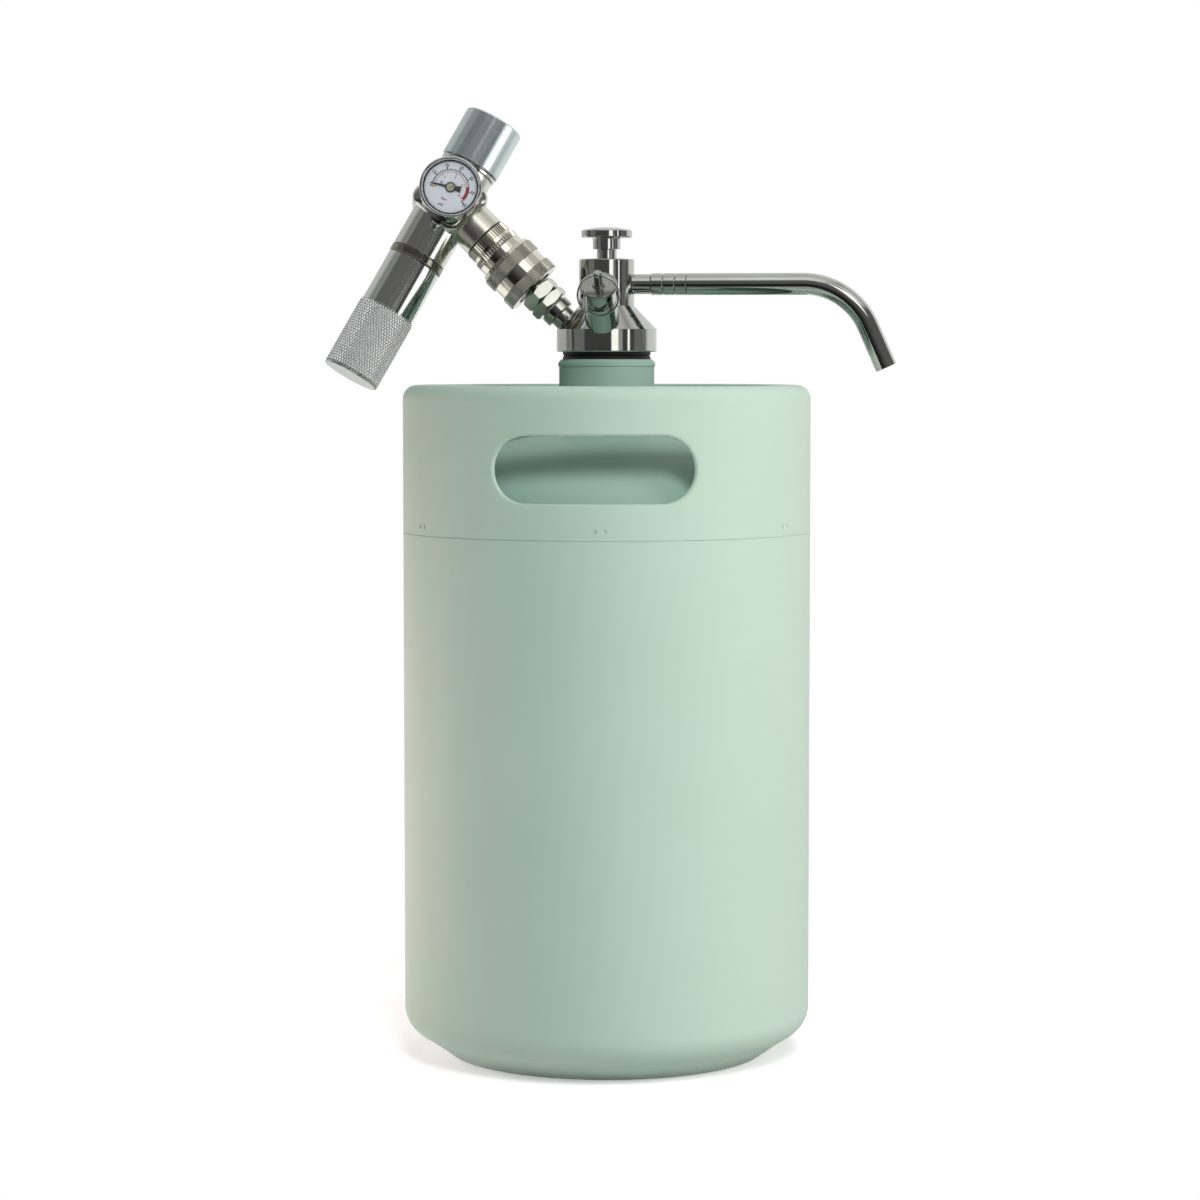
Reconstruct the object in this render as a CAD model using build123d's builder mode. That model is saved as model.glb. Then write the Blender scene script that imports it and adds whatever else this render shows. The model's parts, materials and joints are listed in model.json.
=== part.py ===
from build123d import *
import os
from math import acos, asin, cos, degrees, radians, sin, sqrt

# Mini keg beer dispenser: a five litre double-wall keg with a screw-in tap head, a swivelling
# spout, a relief valve and a gas regulator on a ball-lock coupler. Millimetres, +Z up,
# origin on the floor at the keg's axis, spout towards +X, relief valve towards -Y.

os.makedirs("parts", exist_ok=True)

# ---- Driving dimensions: clearances that several fits share ----
fit = 0.05                   # radial clearance of a running fit
face_gap = 0.1               # between faces that slide past each other
ring_section_sides = 8       # an O-ring's section is drawn with this many sides

# ---- Driving dimensions: keg ----
keg_radius = 90.0
sheet = 1.0                  # wall of the outer shell and of the inner vessel
vacuum_gap = 5.5             # between the two walls
seam_height = 232.0          # where the collar stands on the body
side_foot_height = 21.0      # where the side starts to turn under
base_turn_radius = 13.0
base_turn = 67.38            # degrees that the side turns under, down to the base pan
foot_inset = 13.5            # from that crease in to the foot ring
foot_width = 3.0
foot_slope = 2.5             # run of the foot ring's inner slope
base_recess = 4.5
vessel_corner = 12.0
dome_rise = 45.0             # height of the shoulder above the seam
neck_radius = 21.0
neck_wall = 1.2
neck_fillet = 5.0
neck_gap = 1.8               # between the shoulder's neck and the vessel's
lip_rise = 11.3              # the neck's lip above the collar's rim
lip_bevel = 1.5
lip_overhang = 0.4
lip_band = 1.4

# ---- Driving dimensions: collar ----
collar_wall = 1.2
collar_height = 64.5         # from the seam to the rim
rim_radius = 6.0             # outside of the roll
rim_width = 10.5             # from the outside to the rolled edge
rim_return = 4.5             # how far the rolled edge turns down
slot_length = 85.8
slot_opening = 28.5
slot_rise = 29.5             # the slot's middle above the seam
slot_turn = -3.8             # degrees about the keg's axis
slot_lip_depth = 3.5
weld_turn = -1.9
weld_height = 3.8            # spot welds above the seam
weld_spacing = 4.2
weld_count = 6
weld_radius = 0.75
weld_depth = 0.35

# ---- Driving dimensions: tap head ----
head_turn = -6.0             # degrees about the keg's axis
gasket_inset = 1.6           # from the neck's outside
gasket_height = 3.3
gasket_lip = 1.1
gasket_groove = 0.5
plug_clearance = 0.2
plug_length = 15.0
band_overhang = 1.05         # beyond the neck
band_height = 9.9
cone_height = 10.3
barrel_radius = 12.15
barrel_height = 20.5
barrel_chamfer = 0.4
gas_bore = 8.5               # annulus round the beer tube
gas_bore_depth = 26.0        # from the plug's end
tube_radius = 4.75
tube_wall = 0.8
tube_floor_gap = 5.0
tube_socket_depth = 9.5
tube_ring_groove = 1.9       # from the socket's mouth
tube_ring_groove_width = 2.4
tube_ring_groove_radius = 6.35
beer_bore = 3.5
beer_bore_length = 3.2
valve_chamber_radius = 5.2
valve_chamber_height = 10.2
bonnet_radius = 7.55
stem_radius = 4.4
stem_neck_radius = 3.0
stem_guide = 2.0             # guided shank below the bonnet
stem_show = 4.2              # stem between the head and the knob's hub
stem_ring_groove = 2.0       # from the bonnet's foot
stem_ring_groove_width = 1.9
stem_ring_groove_radius = 5.95
valve_head_radius = 4.2
valve_head_height = 2.0
washer_radius = 4.6
washer_height = 1.5
knob_hub_radius = 6.1
knob_hub_height = 5.1
knob_radius = 11.2
knob_chamfer = 0.4
knob_edge_height = 3.3
knob_crown = 1.4
knob_socket_depth = 6.2

# ---- Driving dimensions: spout ----
spout_rise = 9.5             # the spout's axis above the cone
port_way = 3.0               # from the valve chamber to the nipple
nipple_start = 6.5
nipple_seat = 11.2
nipple_root_radius = 3.8
nipple_radius = 4.4
nipple_reach = 19.5
nipple_bore = 2.0
spigot_radius = 3.25
spigot_length = 13.4
spigot_ring_width = 1.0
spigot_ring_groove_radius = 2.6
spigot_ring_first = 3.5      # from the nipple's shoulder
spigot_ring_spacing = 5.5
ferrule_gap = 0.2
spout_radius = 4.8
spout_wall = 0.9
ferrule_length = 15.7
ferrule_tail = 6.6
ferrule_groove = 0.35
ferrule_groove_spacing = 5.3
spout_straight = 51.3        # from the ferrule to the bend
spout_bend_radius = 31.0
spout_bend = 66.0            # degrees down
spout_drop = 20.0

# ---- Driving dimensions: relief valve, distances along its own axis ----
port_drop = 4.1              # the slanted axes meet the keg's axis below the head's foot
port_slant = 45.0
slant_way_start = 9.0        # inside the gas annulus
relief_spigot_start = 17.0
relief_foot = 24.3
relief_spigot_radius = 4.95
relief_boss_radius = 7.4
relief_groove_start = 37.4
relief_groove_width = 0.5
relief_groove_depth = 0.55
relief_barrel_radius = 7.05
relief_cap_start = 45.3
relief_cap_radius = 8.15
relief_cap_height = 1.2
relief_cap_spigot = 0.7
relief_boss_top_radius = 2.75
relief_boss_top_height = 0.8
relief_chamber_radius = 5.0
relief_seat = 27.0
relief_inlet_radius = 2.2
vent_radius = 1.1
vent_station = 42.7
vent_count = 3
vent_turn = -30.0
relief_seal_height = 0.9
relief_seal_radius = 3.7
relief_disc_radius = 4.6
relief_disc_height = 2.4
relief_pin_radius = 1.9
relief_pin_end = 53.9
relief_travel = 2.5
relief_spring_radius = 3.4
relief_spring_wire = 1.0
relief_spring_turns = 5
ring_hole_radius = 1.25
ring_hole_station = 52.2
ring_radius = 9.0            # to the middle of the wire
ring_wire = 1.0
ring_thickness = 1.7
ring_lean = 16.0             # degrees off plumb, towards the head

# ---- Driving dimensions: gas post and coupler, distances along their own axis ----
post_spigot_start = 14.0
post_foot = 24.4
post_spigot_radius = 3.4
post_radius = 5.3
post_flange_start = 28.7
post_flange_radius = 7.1
post_flange_end = 33.1
post_nose_radius = 4.0
post_nose_end = 36.7
gas_way = 1.8                # bore through post and plug
post_washer_radius = 5.6
nut_start = 33.9
nut_end = 38.6
nut_flats = 16.0
plug_tail_start = 36.8
plug_start = 38.7
plug_flats = 15.5
plug_end = 44.2
plug_nose_radius = 4.9
plug_tip = 58.0
plug_tip_chamfer = 0.8
ball_station = 50.4
ball_radius = 2.0
ball_orbit = 5.85
ball_count = 6
body_start = 46.3
body_radius = 7.8
body_flange_start = 61.0
body_flange_end = 62.6
body_flange_radius = 9.8
body_tail_radius = 7.0
body_tail_end = 70.6
body_bore_end = 58.5
body_ring_groove = 55.6
body_ring_groove_width = 1.8
body_ring_groove_radius = 6.5
snap_ring_start = 47.3
snap_ring_width = 1.0
snap_ring_inner = 7.3
snap_ring_radius = 8.9
check_seat_radius = 2.6
check_chamber_radius = 5.0
check_chamber_start = 59.0
check_chamber_end = 68.5
check_way = 2.0
poppet_stem_radius = 1.5
poppet_start = 58.2
poppet_disc_start = 60.0
poppet_disc_end = 62.0
poppet_disc_radius = 4.2
poppet_end = 66.0
check_spring_radius = 2.7
check_spring_wire = 0.7
check_spring_turns = 4
sleeve_start = 45.5
sleeve_band_end = 51.3
sleeve_middle_end = 56.6
sleeve_knurl_end = 62.4
sleeve_end = 64.1
sleeve_radius = 13.6
sleeve_middle_radius = 12.75
sleeve_tail_radius = 12.4
sleeve_edge = 0.3
sleeve_recess_radius = 9.1
sleeve_land_start = 48.5
sleeve_land_end = 52.0
sleeve_land_radius = 7.9
sleeve_pocket_radius = 10.2
sleeve_pocket_end = 58.8
sleeve_skirt_radius = 11.4
sleeve_travel = 3.5
sleeve_spring_radius = 9.0
sleeve_spring_wire = 1.2
sleeve_spring_end = 57.3
sleeve_spring_turns = 2.5
adapter_radius = 11.25
adapter_flute_start = 67.7
adapter_front_end = 69.0
adapter_groove_radius = 10.3
adapter_rear_start = 72.1
adapter_rear_radius = 10.65
adapter_end = 76.3
adapter_step = 70.8
flute_count = 30
flute_depth = 0.45
outlet_seal_width = 0.6
outlet_radius = 10.2
outlet_spigot_radius = 5.95
outlet_spigot_length = 6.0
hub_station = 99.1           # where the regulator's axis crosses this one

# ---- Driving dimensions: regulator, distances along its own axis from the hub ----
regulator_lean = 73.7        # degrees between the two axes
regulator_roll = 13.46       # degrees about the coupler's axis
block_length = 26.8          # along the outlet
block_height = 26.0
block_lift = 0.4
block_depth = 25.0           # front to back
block_fillet = 3.0
block_edge = 1.2
body_tube_radius = 12.45
body_tube_end = 27.9         # towards the bulb
top_flange_radius = 12.9
top_neck_radius = 11.8
top_neck_start = 15.4
top_flange_start = 16.4
top_flange_end = 17.9
bonnet_spigot_radius = 10.8
bonnet_spigot_end = 32.6
piston_bore = 9.0
piston_bore_floor = 6.0
inlet_way = 1.2
outlet_way = 2.5
gauge_way = 1.5
seat_depth = 2.0             # the valve seat, below the hub
nose_radius = 10.9
nose_end = 41.0
bulb_room_radius = 9.6
bulb_room_top = 29.0
bulb_socket_radius = 4.6
bulb_socket_top = 20.0
lock_ring_radius = 12.6
lock_ring_end = 31.6
adjusting_knob_start = 18.4
adjusting_knob_end = 41.3
adjusting_knob_radius = 13.45
adjusting_knob_bore = 10.9
adjusting_knob_chamfer = 0.7
adjusting_knob_lid = 3.3
knob_ring_start = 30.9
knob_ring_width = 1.1
knob_ring_inner = 10.25
knob_ring_outer = 11.4
spindle_radius = 3.0
spindle_end = 21.0
pressure_nut_start = 24.0
pressure_nut_height = 4.0
pressure_nut_radius = 8.9
key_start = 20.5
key_width = 2.2
key_reach = 9.8
adjusting_spring_start = 14.1
adjusting_spring_radius = 6.5
adjusting_spring_wire = 1.6
adjusting_spring_turns = 3.5
piston_start = 6.3
piston_height = 3.7
piston_stem_radius = 1.6
piston_groove = 1.1
piston_groove_width = 1.4
piston_groove_radius = 8.0
piercing_pin_start = 16.0
piercing_pin_end = 23.0
piercing_pin_bore = 0.5
bulb_seal_width = 1.4
bulb_seal_bore = 1.8
bulb_sleeve_start = 31.8
bulb_sleeve_radius = 12.25
bulb_sleeve_bore_end = 42.0
knurl_start = 56.1
knurl_radius = 13.0
bulb_sleeve_end = 89.15
bulb_sleeve_floor = 2.0
bulb_sleeve_chamfer = 0.5
bulb_radius = 9.3
bulb_wall = 1.2
bulb_top = 21.5
bulb_neck_radius = 4.4
bulb_neck_length = 8.0
bulb_length = 65.5
bulb_corner = 3.3
bulb_hole_radius = 1.3

# ---- Driving dimensions: gauge, distances along its own axis from the hub ----
gauge_stem_start = 4.0
gauge_stem_radius = 4.9
gauge_stem_bore = 1.2
gauge_hex_flats = 18.0
gauge_post_radius = 2.0
gauge_case_start = 18.0
gauge_case_radius = 12.9
gauge_case_wall = 0.8
gauge_ledge_radius = 11.3
bezel_start = 28.6
gauge_front = 33.0
bezel_radius = 13.5
bezel_opening = 12.05
bezel_edge = 0.3
dial_front = 30.4
dial_thickness = 0.5
dial_radius = 11.95
lens_thickness = 0.8
lens_setback = 0.6
lens_gasket_radius = 11.6
needle_gap = 0.3
needle_thickness = 0.3
needle_length = 8.9
needle_tail = 4.6
needle_tail_width = 2.6
needle_root_width = 0.9
needle_tip_width = 0.3
needle_hub_radius = 1.8
needle_hub_height = 0.35
needle_boss_radius = 2.3
needle_spindle_radius = 0.6
needle_spindle_start = 24.0
dial_zero_angle = 112.5      # from straight up, anticlockwise
stop_pin_radius = 0.6
stop_pin_height = 0.8
stop_pin_place = 7.3         # on the scale's zero mark
bourdon_radius = 8.6
bourdon_width = 1.2
bourdon_start = 20.5
bourdon_height = 3.0
bourdon_first = -78.0        # degrees
bourdon_sweep = 250.0

# ---- Heights and radii that follow ----
rim_height = seam_height + collar_height
slot_height = seam_height + slot_rise
lip_height = rim_height + lip_rise
flange_foot = seam_height - sheet
dome_radius = keg_radius - collar_wall
vessel_radius = keg_radius - sheet - vacuum_gap
vessel_rise = dome_rise - vacuum_gap
vessel_neck_radius = neck_radius - neck_wall - neck_gap
neck_bore = vessel_neck_radius - sheet
gasket_radius = neck_radius - gasket_inset
band_radius = neck_radius + band_overhang
vessel_floor = base_recess + sheet + vacuum_gap
turn_centre = keg_radius - base_turn_radius
base_crease_radius = turn_centre + base_turn_radius * cos(radians(base_turn))
crease_height = side_foot_height - base_turn_radius * sin(radians(base_turn))
foot_radius = base_crease_radius - foot_inset
inner_turn = base_turn_radius - sheet
inner_crease = (turn_centre + inner_turn * cos(radians(base_turn)),
                side_foot_height - inner_turn * sin(radians(base_turn)))
lip_foot = lip_height - lip_bevel
head_foot = lip_height + gasket_height
plug_radius = neck_bore - plug_clearance
plug_foot = head_foot - plug_length
cone_foot = head_foot + band_height
cone_top = cone_foot + cone_height
head_top = cone_top + barrel_height
spout_height = cone_top + spout_rise
port_height = head_foot - port_drop
gas_bore_top = plug_foot + gas_bore_depth
tube_foot = vessel_floor + tube_floor_gap
tube_top = gas_bore_top + tube_socket_depth
valve_floor = tube_top + beer_bore_length
chamber_top = valve_floor + valve_chamber_height
washer_top = valve_floor + face_gap + washer_height
knob_foot = head_top + stem_show + face_gap
knob_socket_top = knob_foot + knob_socket_depth
knob_edge_foot = knob_foot + knob_hub_height
knob_edge_top = knob_edge_foot + knob_edge_height
ferrule_start = nipple_reach + ferrule_gap
ferrule_end = ferrule_start + ferrule_length
bend_start = ferrule_end + spout_straight
relief_cap_top = relief_cap_start + relief_cap_height
relief_disc_start = relief_seat + face_gap + relief_seal_height
relief_spring_start = relief_disc_start + relief_disc_height
relief_spring_end = relief_cap_start - relief_cap_spigot - relief_travel - face_gap
outlet_face = hub_station - adapter_end - outlet_seal_width
block_front = block_depth / 2
gauge_case_end = gauge_front - lens_setback - lens_thickness
needle_start = dial_front + needle_gap
needle_taper = (needle_root_width - needle_tip_width) / needle_length
needle_at_pin = (needle_root_width - needle_taper * stop_pin_place) / 2
needle_rest_angle = dial_zero_angle - degrees(
    asin((stop_pin_radius + needle_at_pin + face_gap) / stop_pin_place))
piston_radius = piston_bore - fit


def side_plane(base):
    """The plane in which a turned piece is drawn: x is the radius, y runs along the axis."""
    return Plane(origin=base.origin, x_dir=base.x_dir, z_dir=base.x_dir.cross(base.z_dir))


def turn(base, *points, mode=Mode.ADD):
    """A piece turned about the base's axis from a half outline of (radius, distance)."""
    with BuildSketch(side_plane(base)) as section:
        with BuildLine():
            Polyline(*points, close=True)
        make_face()
    revolve(section.sketch, axis=Axis(base.origin, base.z_dir), mode=mode)


def turn_tube(base, inner, outer, start, end, mode=Mode.ADD):
    with BuildSketch(base.offset(start)) as section:
        Circle(outer)
        Circle(inner, mode=Mode.SUBTRACT)
    extrude(section.sketch, amount=end - start, mode=mode)


def turn_rod(base, radius, start, end, mode=Mode.ADD):
    with BuildSketch(base.offset(start)) as section:
        Circle(radius)
    extrude(section.sketch, amount=end - start, mode=mode)


def turn_ring(base, inner, outer, station):
    """An O-ring that fills the groove between two radii, less the fit."""
    with BuildSketch(side_plane(base)) as section:
        with Locations(((inner + outer) / 2, station)):
            RegularPolygon((outer - inner - fit) / 2, ring_section_sides)
    revolve(section.sketch, axis=Axis(base.origin, base.z_dir))


def wind_spring(base, radius, wire, start, end, turns):
    """Square wire wound about the base's axis between two distances along it."""
    rise = end - start - wire
    foot = base.origin + base.z_dir * (start + wire / 2)
    with BuildLine() as coil:
        Helix(rise / turns, rise, radius, center=foot, direction=base.z_dir)
    wire_start = coil.line @ 0
    with BuildSketch(Plane(wire_start, x_dir=wire_start - foot, z_dir=coil.line % 0)) as section:
        Rectangle(wire, wire)
    sweep(section.sketch, path=coil.line, is_frenet=True)


def keep(piece, name):
    piece.part.label = name
    export_step(piece.part, f"parts/{name}.step")


# ---- The axes that the pieces are turned about ----
head_x = Vector(cos(radians(head_turn)), sin(radians(head_turn)), 0)
head_y = Vector(-sin(radians(head_turn)), cos(radians(head_turn)), 0)
up = Vector(0, 0, 1)
slant_out = cos(radians(port_slant))
slant_up = sin(radians(port_slant))

keg_base = Plane.XY
spout_base = Plane(origin=(0, 0, spout_height), x_dir=up, z_dir=head_x)
relief_base = Plane(origin=(0, 0, port_height), x_dir=head_x,
                    z_dir=head_y * -slant_out + up * slant_up)
post_base = Plane(origin=(0, 0, port_height), x_dir=head_y,
                  z_dir=head_x * -slant_out + up * slant_up)

outlet = post_base.z_dir
lean_side = head_x * slant_up + up * slant_out
lean_away = (lean_side * cos(radians(regulator_roll))
             + outlet.cross(lean_side) * sin(radians(regulator_roll)))
regulator_up = outlet * cos(radians(regulator_lean)) + lean_away * sin(radians(regulator_lean))
gauge_out = regulator_up.cross(outlet).normalized()
hub = Vector(0, 0, port_height) + outlet * hub_station
regulator_base = Plane(origin=hub, x_dir=gauge_out, z_dir=regulator_up)
bulb_base = Plane(origin=hub, x_dir=gauge_out, z_dir=regulator_up * -1)
gauge_base = Plane(origin=hub, x_dir=regulator_up.cross(gauge_out), z_dir=gauge_out)
block_base = Plane(origin=hub, x_dir=outlet, z_dir=gauge_out)
outlet_base = Plane(origin=hub, x_dir=gauge_out, z_dir=outlet * -1)

# ================ Keg ================


def side_outline(radius, corner, corner_height, turn_angle, top, mode=Mode.ADD):
    """The side view of a can: turned-under foot and straight side."""
    centre = (radius - corner, corner_height)
    foot = (centre[0] + corner * cos(radians(turn_angle)),
            corner_height - corner * sin(radians(turn_angle)))
    with BuildLine() as side:
        Polyline((0, foot[1]), foot)
        CenterArc(centre, corner, -turn_angle, turn_angle)
        Polyline((radius, corner_height), (radius, top), (0, top), (0, foot[1]))
    make_face(side.edges(), mode=mode)


def shoulder_outline(foot, dome, neck, top, mode=Mode.ADD):
    """The side view of a bottle's top: elliptical shoulder and neck."""
    with Locations((0, foot)):
        Ellipse(*dome, mode=mode)
        Rectangle(2 * neck, top - foot, align=(Align.CENTER, Align.MIN), mode=mode)


def keep_right_half(foot=0.0):
    with Locations((0, foot)):
        Rectangle(2 * keg_radius, 2 * lip_height, align=(Align.MIN, Align.MIN),
                  mode=Mode.INTERSECT)


# Outer shell: turned-under foot and side, up to the shoulder's flange
with BuildPart() as outer_shell:
    with BuildSketch(Plane.XZ):
        side_outline(keg_radius, base_turn_radius, side_foot_height, base_turn, flange_foot)
        side_outline(keg_radius - sheet, inner_turn, side_foot_height, base_turn, flange_foot,
                     Mode.SUBTRACT)
        with BuildLine():
            Polyline((0, 0), (base_crease_radius, 0), (base_crease_radius, crease_height),
                     inner_crease, (0, inner_crease[1]), close=True)
        make_face(mode=Mode.SUBTRACT)
        keep_right_half()
    revolve(axis=Axis.Z)
keep(outer_shell, "outer_shell")

# Shoulder: flange that closes the side and carries the collar, dome, neck and bevelled lip
with BuildPart() as shoulder:
    with BuildSketch(Plane.XZ):
        with Locations((0, flange_foot)):
            Rectangle(2 * keg_radius, sheet, align=(Align.CENTER, Align.MIN))
        shoulder_outline(seam_height, (dome_radius, dome_rise), neck_radius, lip_foot)
        shoulder_outline(flange_foot, (dome_radius - sheet, dome_rise), neck_radius - neck_wall,
                         lip_foot, Mode.SUBTRACT)
        keep_right_half(flange_foot)
        with BuildLine():
            Polyline((vessel_neck_radius, lip_foot), (neck_radius - neck_wall / 2, lip_foot),
                     (neck_radius - neck_wall / 2, lip_foot - lip_band - lip_overhang),
                     (neck_radius, lip_foot - lip_band - lip_overhang),
                     (neck_radius + lip_overhang, lip_foot - lip_band),
                     (neck_radius + lip_overhang, lip_foot),
                     (neck_radius + lip_overhang - lip_bevel, lip_height),
                     (vessel_neck_radius, lip_height), close=True)
        make_face()
    revolve(axis=Axis.Z)
    neck_foot = seam_height + dome_rise * sqrt(1 - (neck_radius / dome_radius) ** 2)
    neck_circles = shoulder.edges().filter_by(GeomType.CIRCLE).filter_by(
        lambda edge: abs(edge.radius - neck_radius) < fit)
    fillet(neck_circles.sort_by(lambda edge: abs(edge.arc_center.Z - neck_foot))[0], neck_fillet)
keep(shoulder, "shoulder")

# Inner vessel: holds the beer, joined to the shoulder only round its neck
with BuildPart() as inner_vessel:
    with BuildSketch(Plane.XZ):
        side_outline(vessel_radius, vessel_corner, vessel_floor + vessel_corner, 90, flange_foot)
        shoulder_outline(flange_foot, (vessel_radius, vessel_rise), vessel_neck_radius, lip_height)
        side_outline(vessel_radius - sheet, vessel_corner - sheet,
                     vessel_floor + vessel_corner, 90, flange_foot, Mode.SUBTRACT)
        shoulder_outline(flange_foot, (vessel_radius - sheet, vessel_rise - sheet), neck_bore,
                         lip_height, Mode.SUBTRACT)
        keep_right_half()
    revolve(axis=Axis.Z)
keep(inner_vessel, "inner_vessel")

# Collar: skirt with a rolled rim, two flanged hand slots and paired spot welds
with BuildPart() as collar:
    rolled_edge = keg_radius - rim_width
    roll_centre = (keg_radius - rim_radius, rim_height - rim_radius)
    inner_side = keg_radius - collar_wall
    slot_plane = Plane(origin=(0, 0, slot_height),
                       x_dir=(cos(radians(slot_turn)), sin(radians(slot_turn)), 0),
                       z_dir=(sin(radians(slot_turn)), -cos(radians(slot_turn)), 0))
    with BuildSketch(Plane.XZ):
        with BuildLine():
            Line((keg_radius, seam_height), (keg_radius, roll_centre[1]))
            CenterArc(roll_centre, rim_radius, 0, 90)
            Polyline((roll_centre[0], rim_height), (rolled_edge + collar_wall, rim_height),
                     (rolled_edge, rim_height - collar_wall),
                     (rolled_edge, rim_height - rim_return),
                     (rolled_edge + collar_wall, rim_height - rim_return),
                     (rolled_edge + collar_wall, rim_height - collar_wall),
                     (roll_centre[0], rim_height - collar_wall))
            CenterArc(roll_centre, rim_radius - collar_wall, 0, 90)
            Polyline((inner_side, roll_centre[1]), (inner_side, seam_height),
                     (keg_radius, seam_height))
        make_face()
    revolve(axis=Axis.Z)
    with BuildSketch(slot_plane):
        SlotOverall(slot_length + 2 * collar_wall, slot_opening + 2 * collar_wall)
    extrude(amount=keg_radius, both=True)
    with BuildSketch(Plane.XZ):
        with BuildLine():
            Polyline((keg_radius - slot_lip_depth, seam_height), (keg_radius, seam_height),
                     (keg_radius, rim_height), (rolled_edge, rim_height),
                     (rolled_edge, rim_height - rim_return),
                     (keg_radius - slot_lip_depth, rim_height - rim_return), close=True)
        make_face()
    revolve(axis=Axis.Z, mode=Mode.INTERSECT)
    with BuildSketch(slot_plane):
        SlotOverall(slot_length, slot_opening)
    extrude(amount=keg_radius, both=True, mode=Mode.SUBTRACT)
    half_pair = degrees(weld_spacing / 2 / keg_radius)
    with Locations((0, 0, seam_height + weld_height)):
        for weld_angle in (weld_turn - half_pair, weld_turn + half_pair):
            with PolarLocations(keg_radius, weld_count, start_angle=weld_angle - 90):
                Cylinder(weld_radius, 2 * weld_depth, rotation=(0, 90, 0), mode=Mode.SUBTRACT)
keep(collar, "collar")

# Base pan: sloping band, foot ring and recessed floor
with BuildPart() as base_pan:
    foot_inner = foot_radius - foot_width
    recess_radius = foot_inner - foot_slope
    turn(keg_base, (base_crease_radius, crease_height), (foot_radius, 0), (foot_inner, 0),
         (recess_radius, base_recess), (0, base_recess), (0, base_recess + sheet),
         (recess_radius + sheet / 2, base_recess + sheet), (foot_inner + sheet / 2, sheet),
         (foot_radius - sheet / 2, sheet), inner_crease)
keep(base_pan, "base_pan")

# Neck gasket: two soft lips with a groove between them
with BuildPart() as neck_gasket:
    gasket_middle = lip_height + gasket_height / 2
    turn(keg_base, (neck_bore, lip_height), (gasket_radius, lip_height),
         (gasket_radius, lip_height + gasket_lip),
         (gasket_radius - gasket_groove, gasket_middle),
         (gasket_radius, head_foot - gasket_lip), (gasket_radius, head_foot),
         (neck_bore, head_foot))
keep(neck_gasket, "neck_gasket")

# ================ Tap head ================

# Body: plug, band, cone and barrel turned from one bar, bored for beer and for gas
with BuildPart() as tap_body:
    tube_groove_start = gas_bore_top + tube_ring_groove
    tube_groove_end = tube_groove_start + tube_ring_groove_width
    turn(keg_base, (0, plug_foot), (plug_radius, plug_foot), (plug_radius, head_foot),
         (band_radius, head_foot), (band_radius, cone_foot), (barrel_radius, cone_top),
         (barrel_radius, head_top - barrel_chamfer), (barrel_radius - barrel_chamfer, head_top),
         (0, head_top))
    turn(keg_base, (0, plug_foot), (gas_bore, plug_foot), (gas_bore, gas_bore_top),
         (tube_radius + fit, gas_bore_top), (tube_radius + fit, tube_groove_start),
         (tube_ring_groove_radius, tube_groove_start), (tube_ring_groove_radius, tube_groove_end),
         (tube_radius + fit, tube_groove_end), (tube_radius + fit, tube_top),
         (beer_bore, tube_top), (beer_bore, valve_floor), (valve_chamber_radius, valve_floor),
         (valve_chamber_radius, chamber_top), (bonnet_radius + fit, chamber_top),
         (bonnet_radius + fit, head_top), (0, head_top), mode=Mode.SUBTRACT)
    # Spout port: way, bore for the nipple's root and spot face
    turn_rod(spout_base, port_way, 0, band_radius, Mode.SUBTRACT)
    turn_rod(spout_base, nipple_root_radius + fit, nipple_start, band_radius, Mode.SUBTRACT)
    turn_rod(spout_base, nipple_radius + fit, nipple_seat, band_radius, Mode.SUBTRACT)
    # Relief port and gas port: each the same three steps on its slanted axis
    port_reach = 2 * band_radius
    turn_rod(relief_base, relief_inlet_radius, slant_way_start, port_reach, Mode.SUBTRACT)
    turn_rod(relief_base, relief_spigot_radius + fit, relief_spigot_start, port_reach,
             Mode.SUBTRACT)
    turn_rod(relief_base, relief_boss_radius + fit, relief_foot, port_reach, Mode.SUBTRACT)
    turn_rod(post_base, gas_way, slant_way_start, port_reach, Mode.SUBTRACT)
    turn_rod(post_base, post_spigot_radius + fit, post_spigot_start, port_reach, Mode.SUBTRACT)
    turn_rod(post_base, post_radius + fit, post_foot, port_reach, Mode.SUBTRACT)
keep(tap_body, "tap_body")

# Beer tube: from its socket in the head down to the vessel's floor
with BuildPart() as beer_tube:
    turn_tube(keg_base, tube_radius - tube_wall, tube_radius, tube_foot, tube_top)
keep(beer_tube, "beer_tube")

with BuildPart() as tube_o_ring:
    turn_ring(keg_base, tube_radius + fit, tube_ring_groove_radius,
              (tube_groove_start + tube_groove_end) / 2)
keep(tube_o_ring, "tube_o_ring")

# Bonnet: closes the valve chamber and guides the stem
with BuildPart() as bonnet:
    stem_groove_start = chamber_top + stem_ring_groove
    stem_groove_end = stem_groove_start + stem_ring_groove_width
    turn(keg_base, (stem_radius + fit, chamber_top), (bonnet_radius, chamber_top),
         (bonnet_radius, head_top), (stem_radius + fit, head_top),
         (stem_radius + fit, stem_groove_end), (stem_ring_groove_radius, stem_groove_end),
         (stem_ring_groove_radius, stem_groove_start), (stem_radius + fit, stem_groove_start))
keep(bonnet, "bonnet")

with BuildPart() as stem_o_ring:
    turn_ring(keg_base, stem_radius + fit, stem_ring_groove_radius,
              (stem_groove_start + stem_groove_end) / 2)
keep(stem_o_ring, "stem_o_ring")

# Valve stem: valve head, thin neck, guided shank and the spigot that carries the knob
with BuildPart() as valve_stem:
    turn(keg_base, (0, washer_top), (valve_head_radius, washer_top),
         (valve_head_radius, washer_top + valve_head_height),
         (stem_neck_radius, washer_top + valve_head_height),
         (stem_neck_radius, chamber_top - stem_guide), (stem_radius, chamber_top - stem_guide),
         (stem_radius, head_top + stem_show), (stem_neck_radius, head_top + stem_show),
         (stem_neck_radius, knob_socket_top - face_gap), (0, knob_socket_top - face_gap))
keep(valve_stem, "valve_stem")

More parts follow.
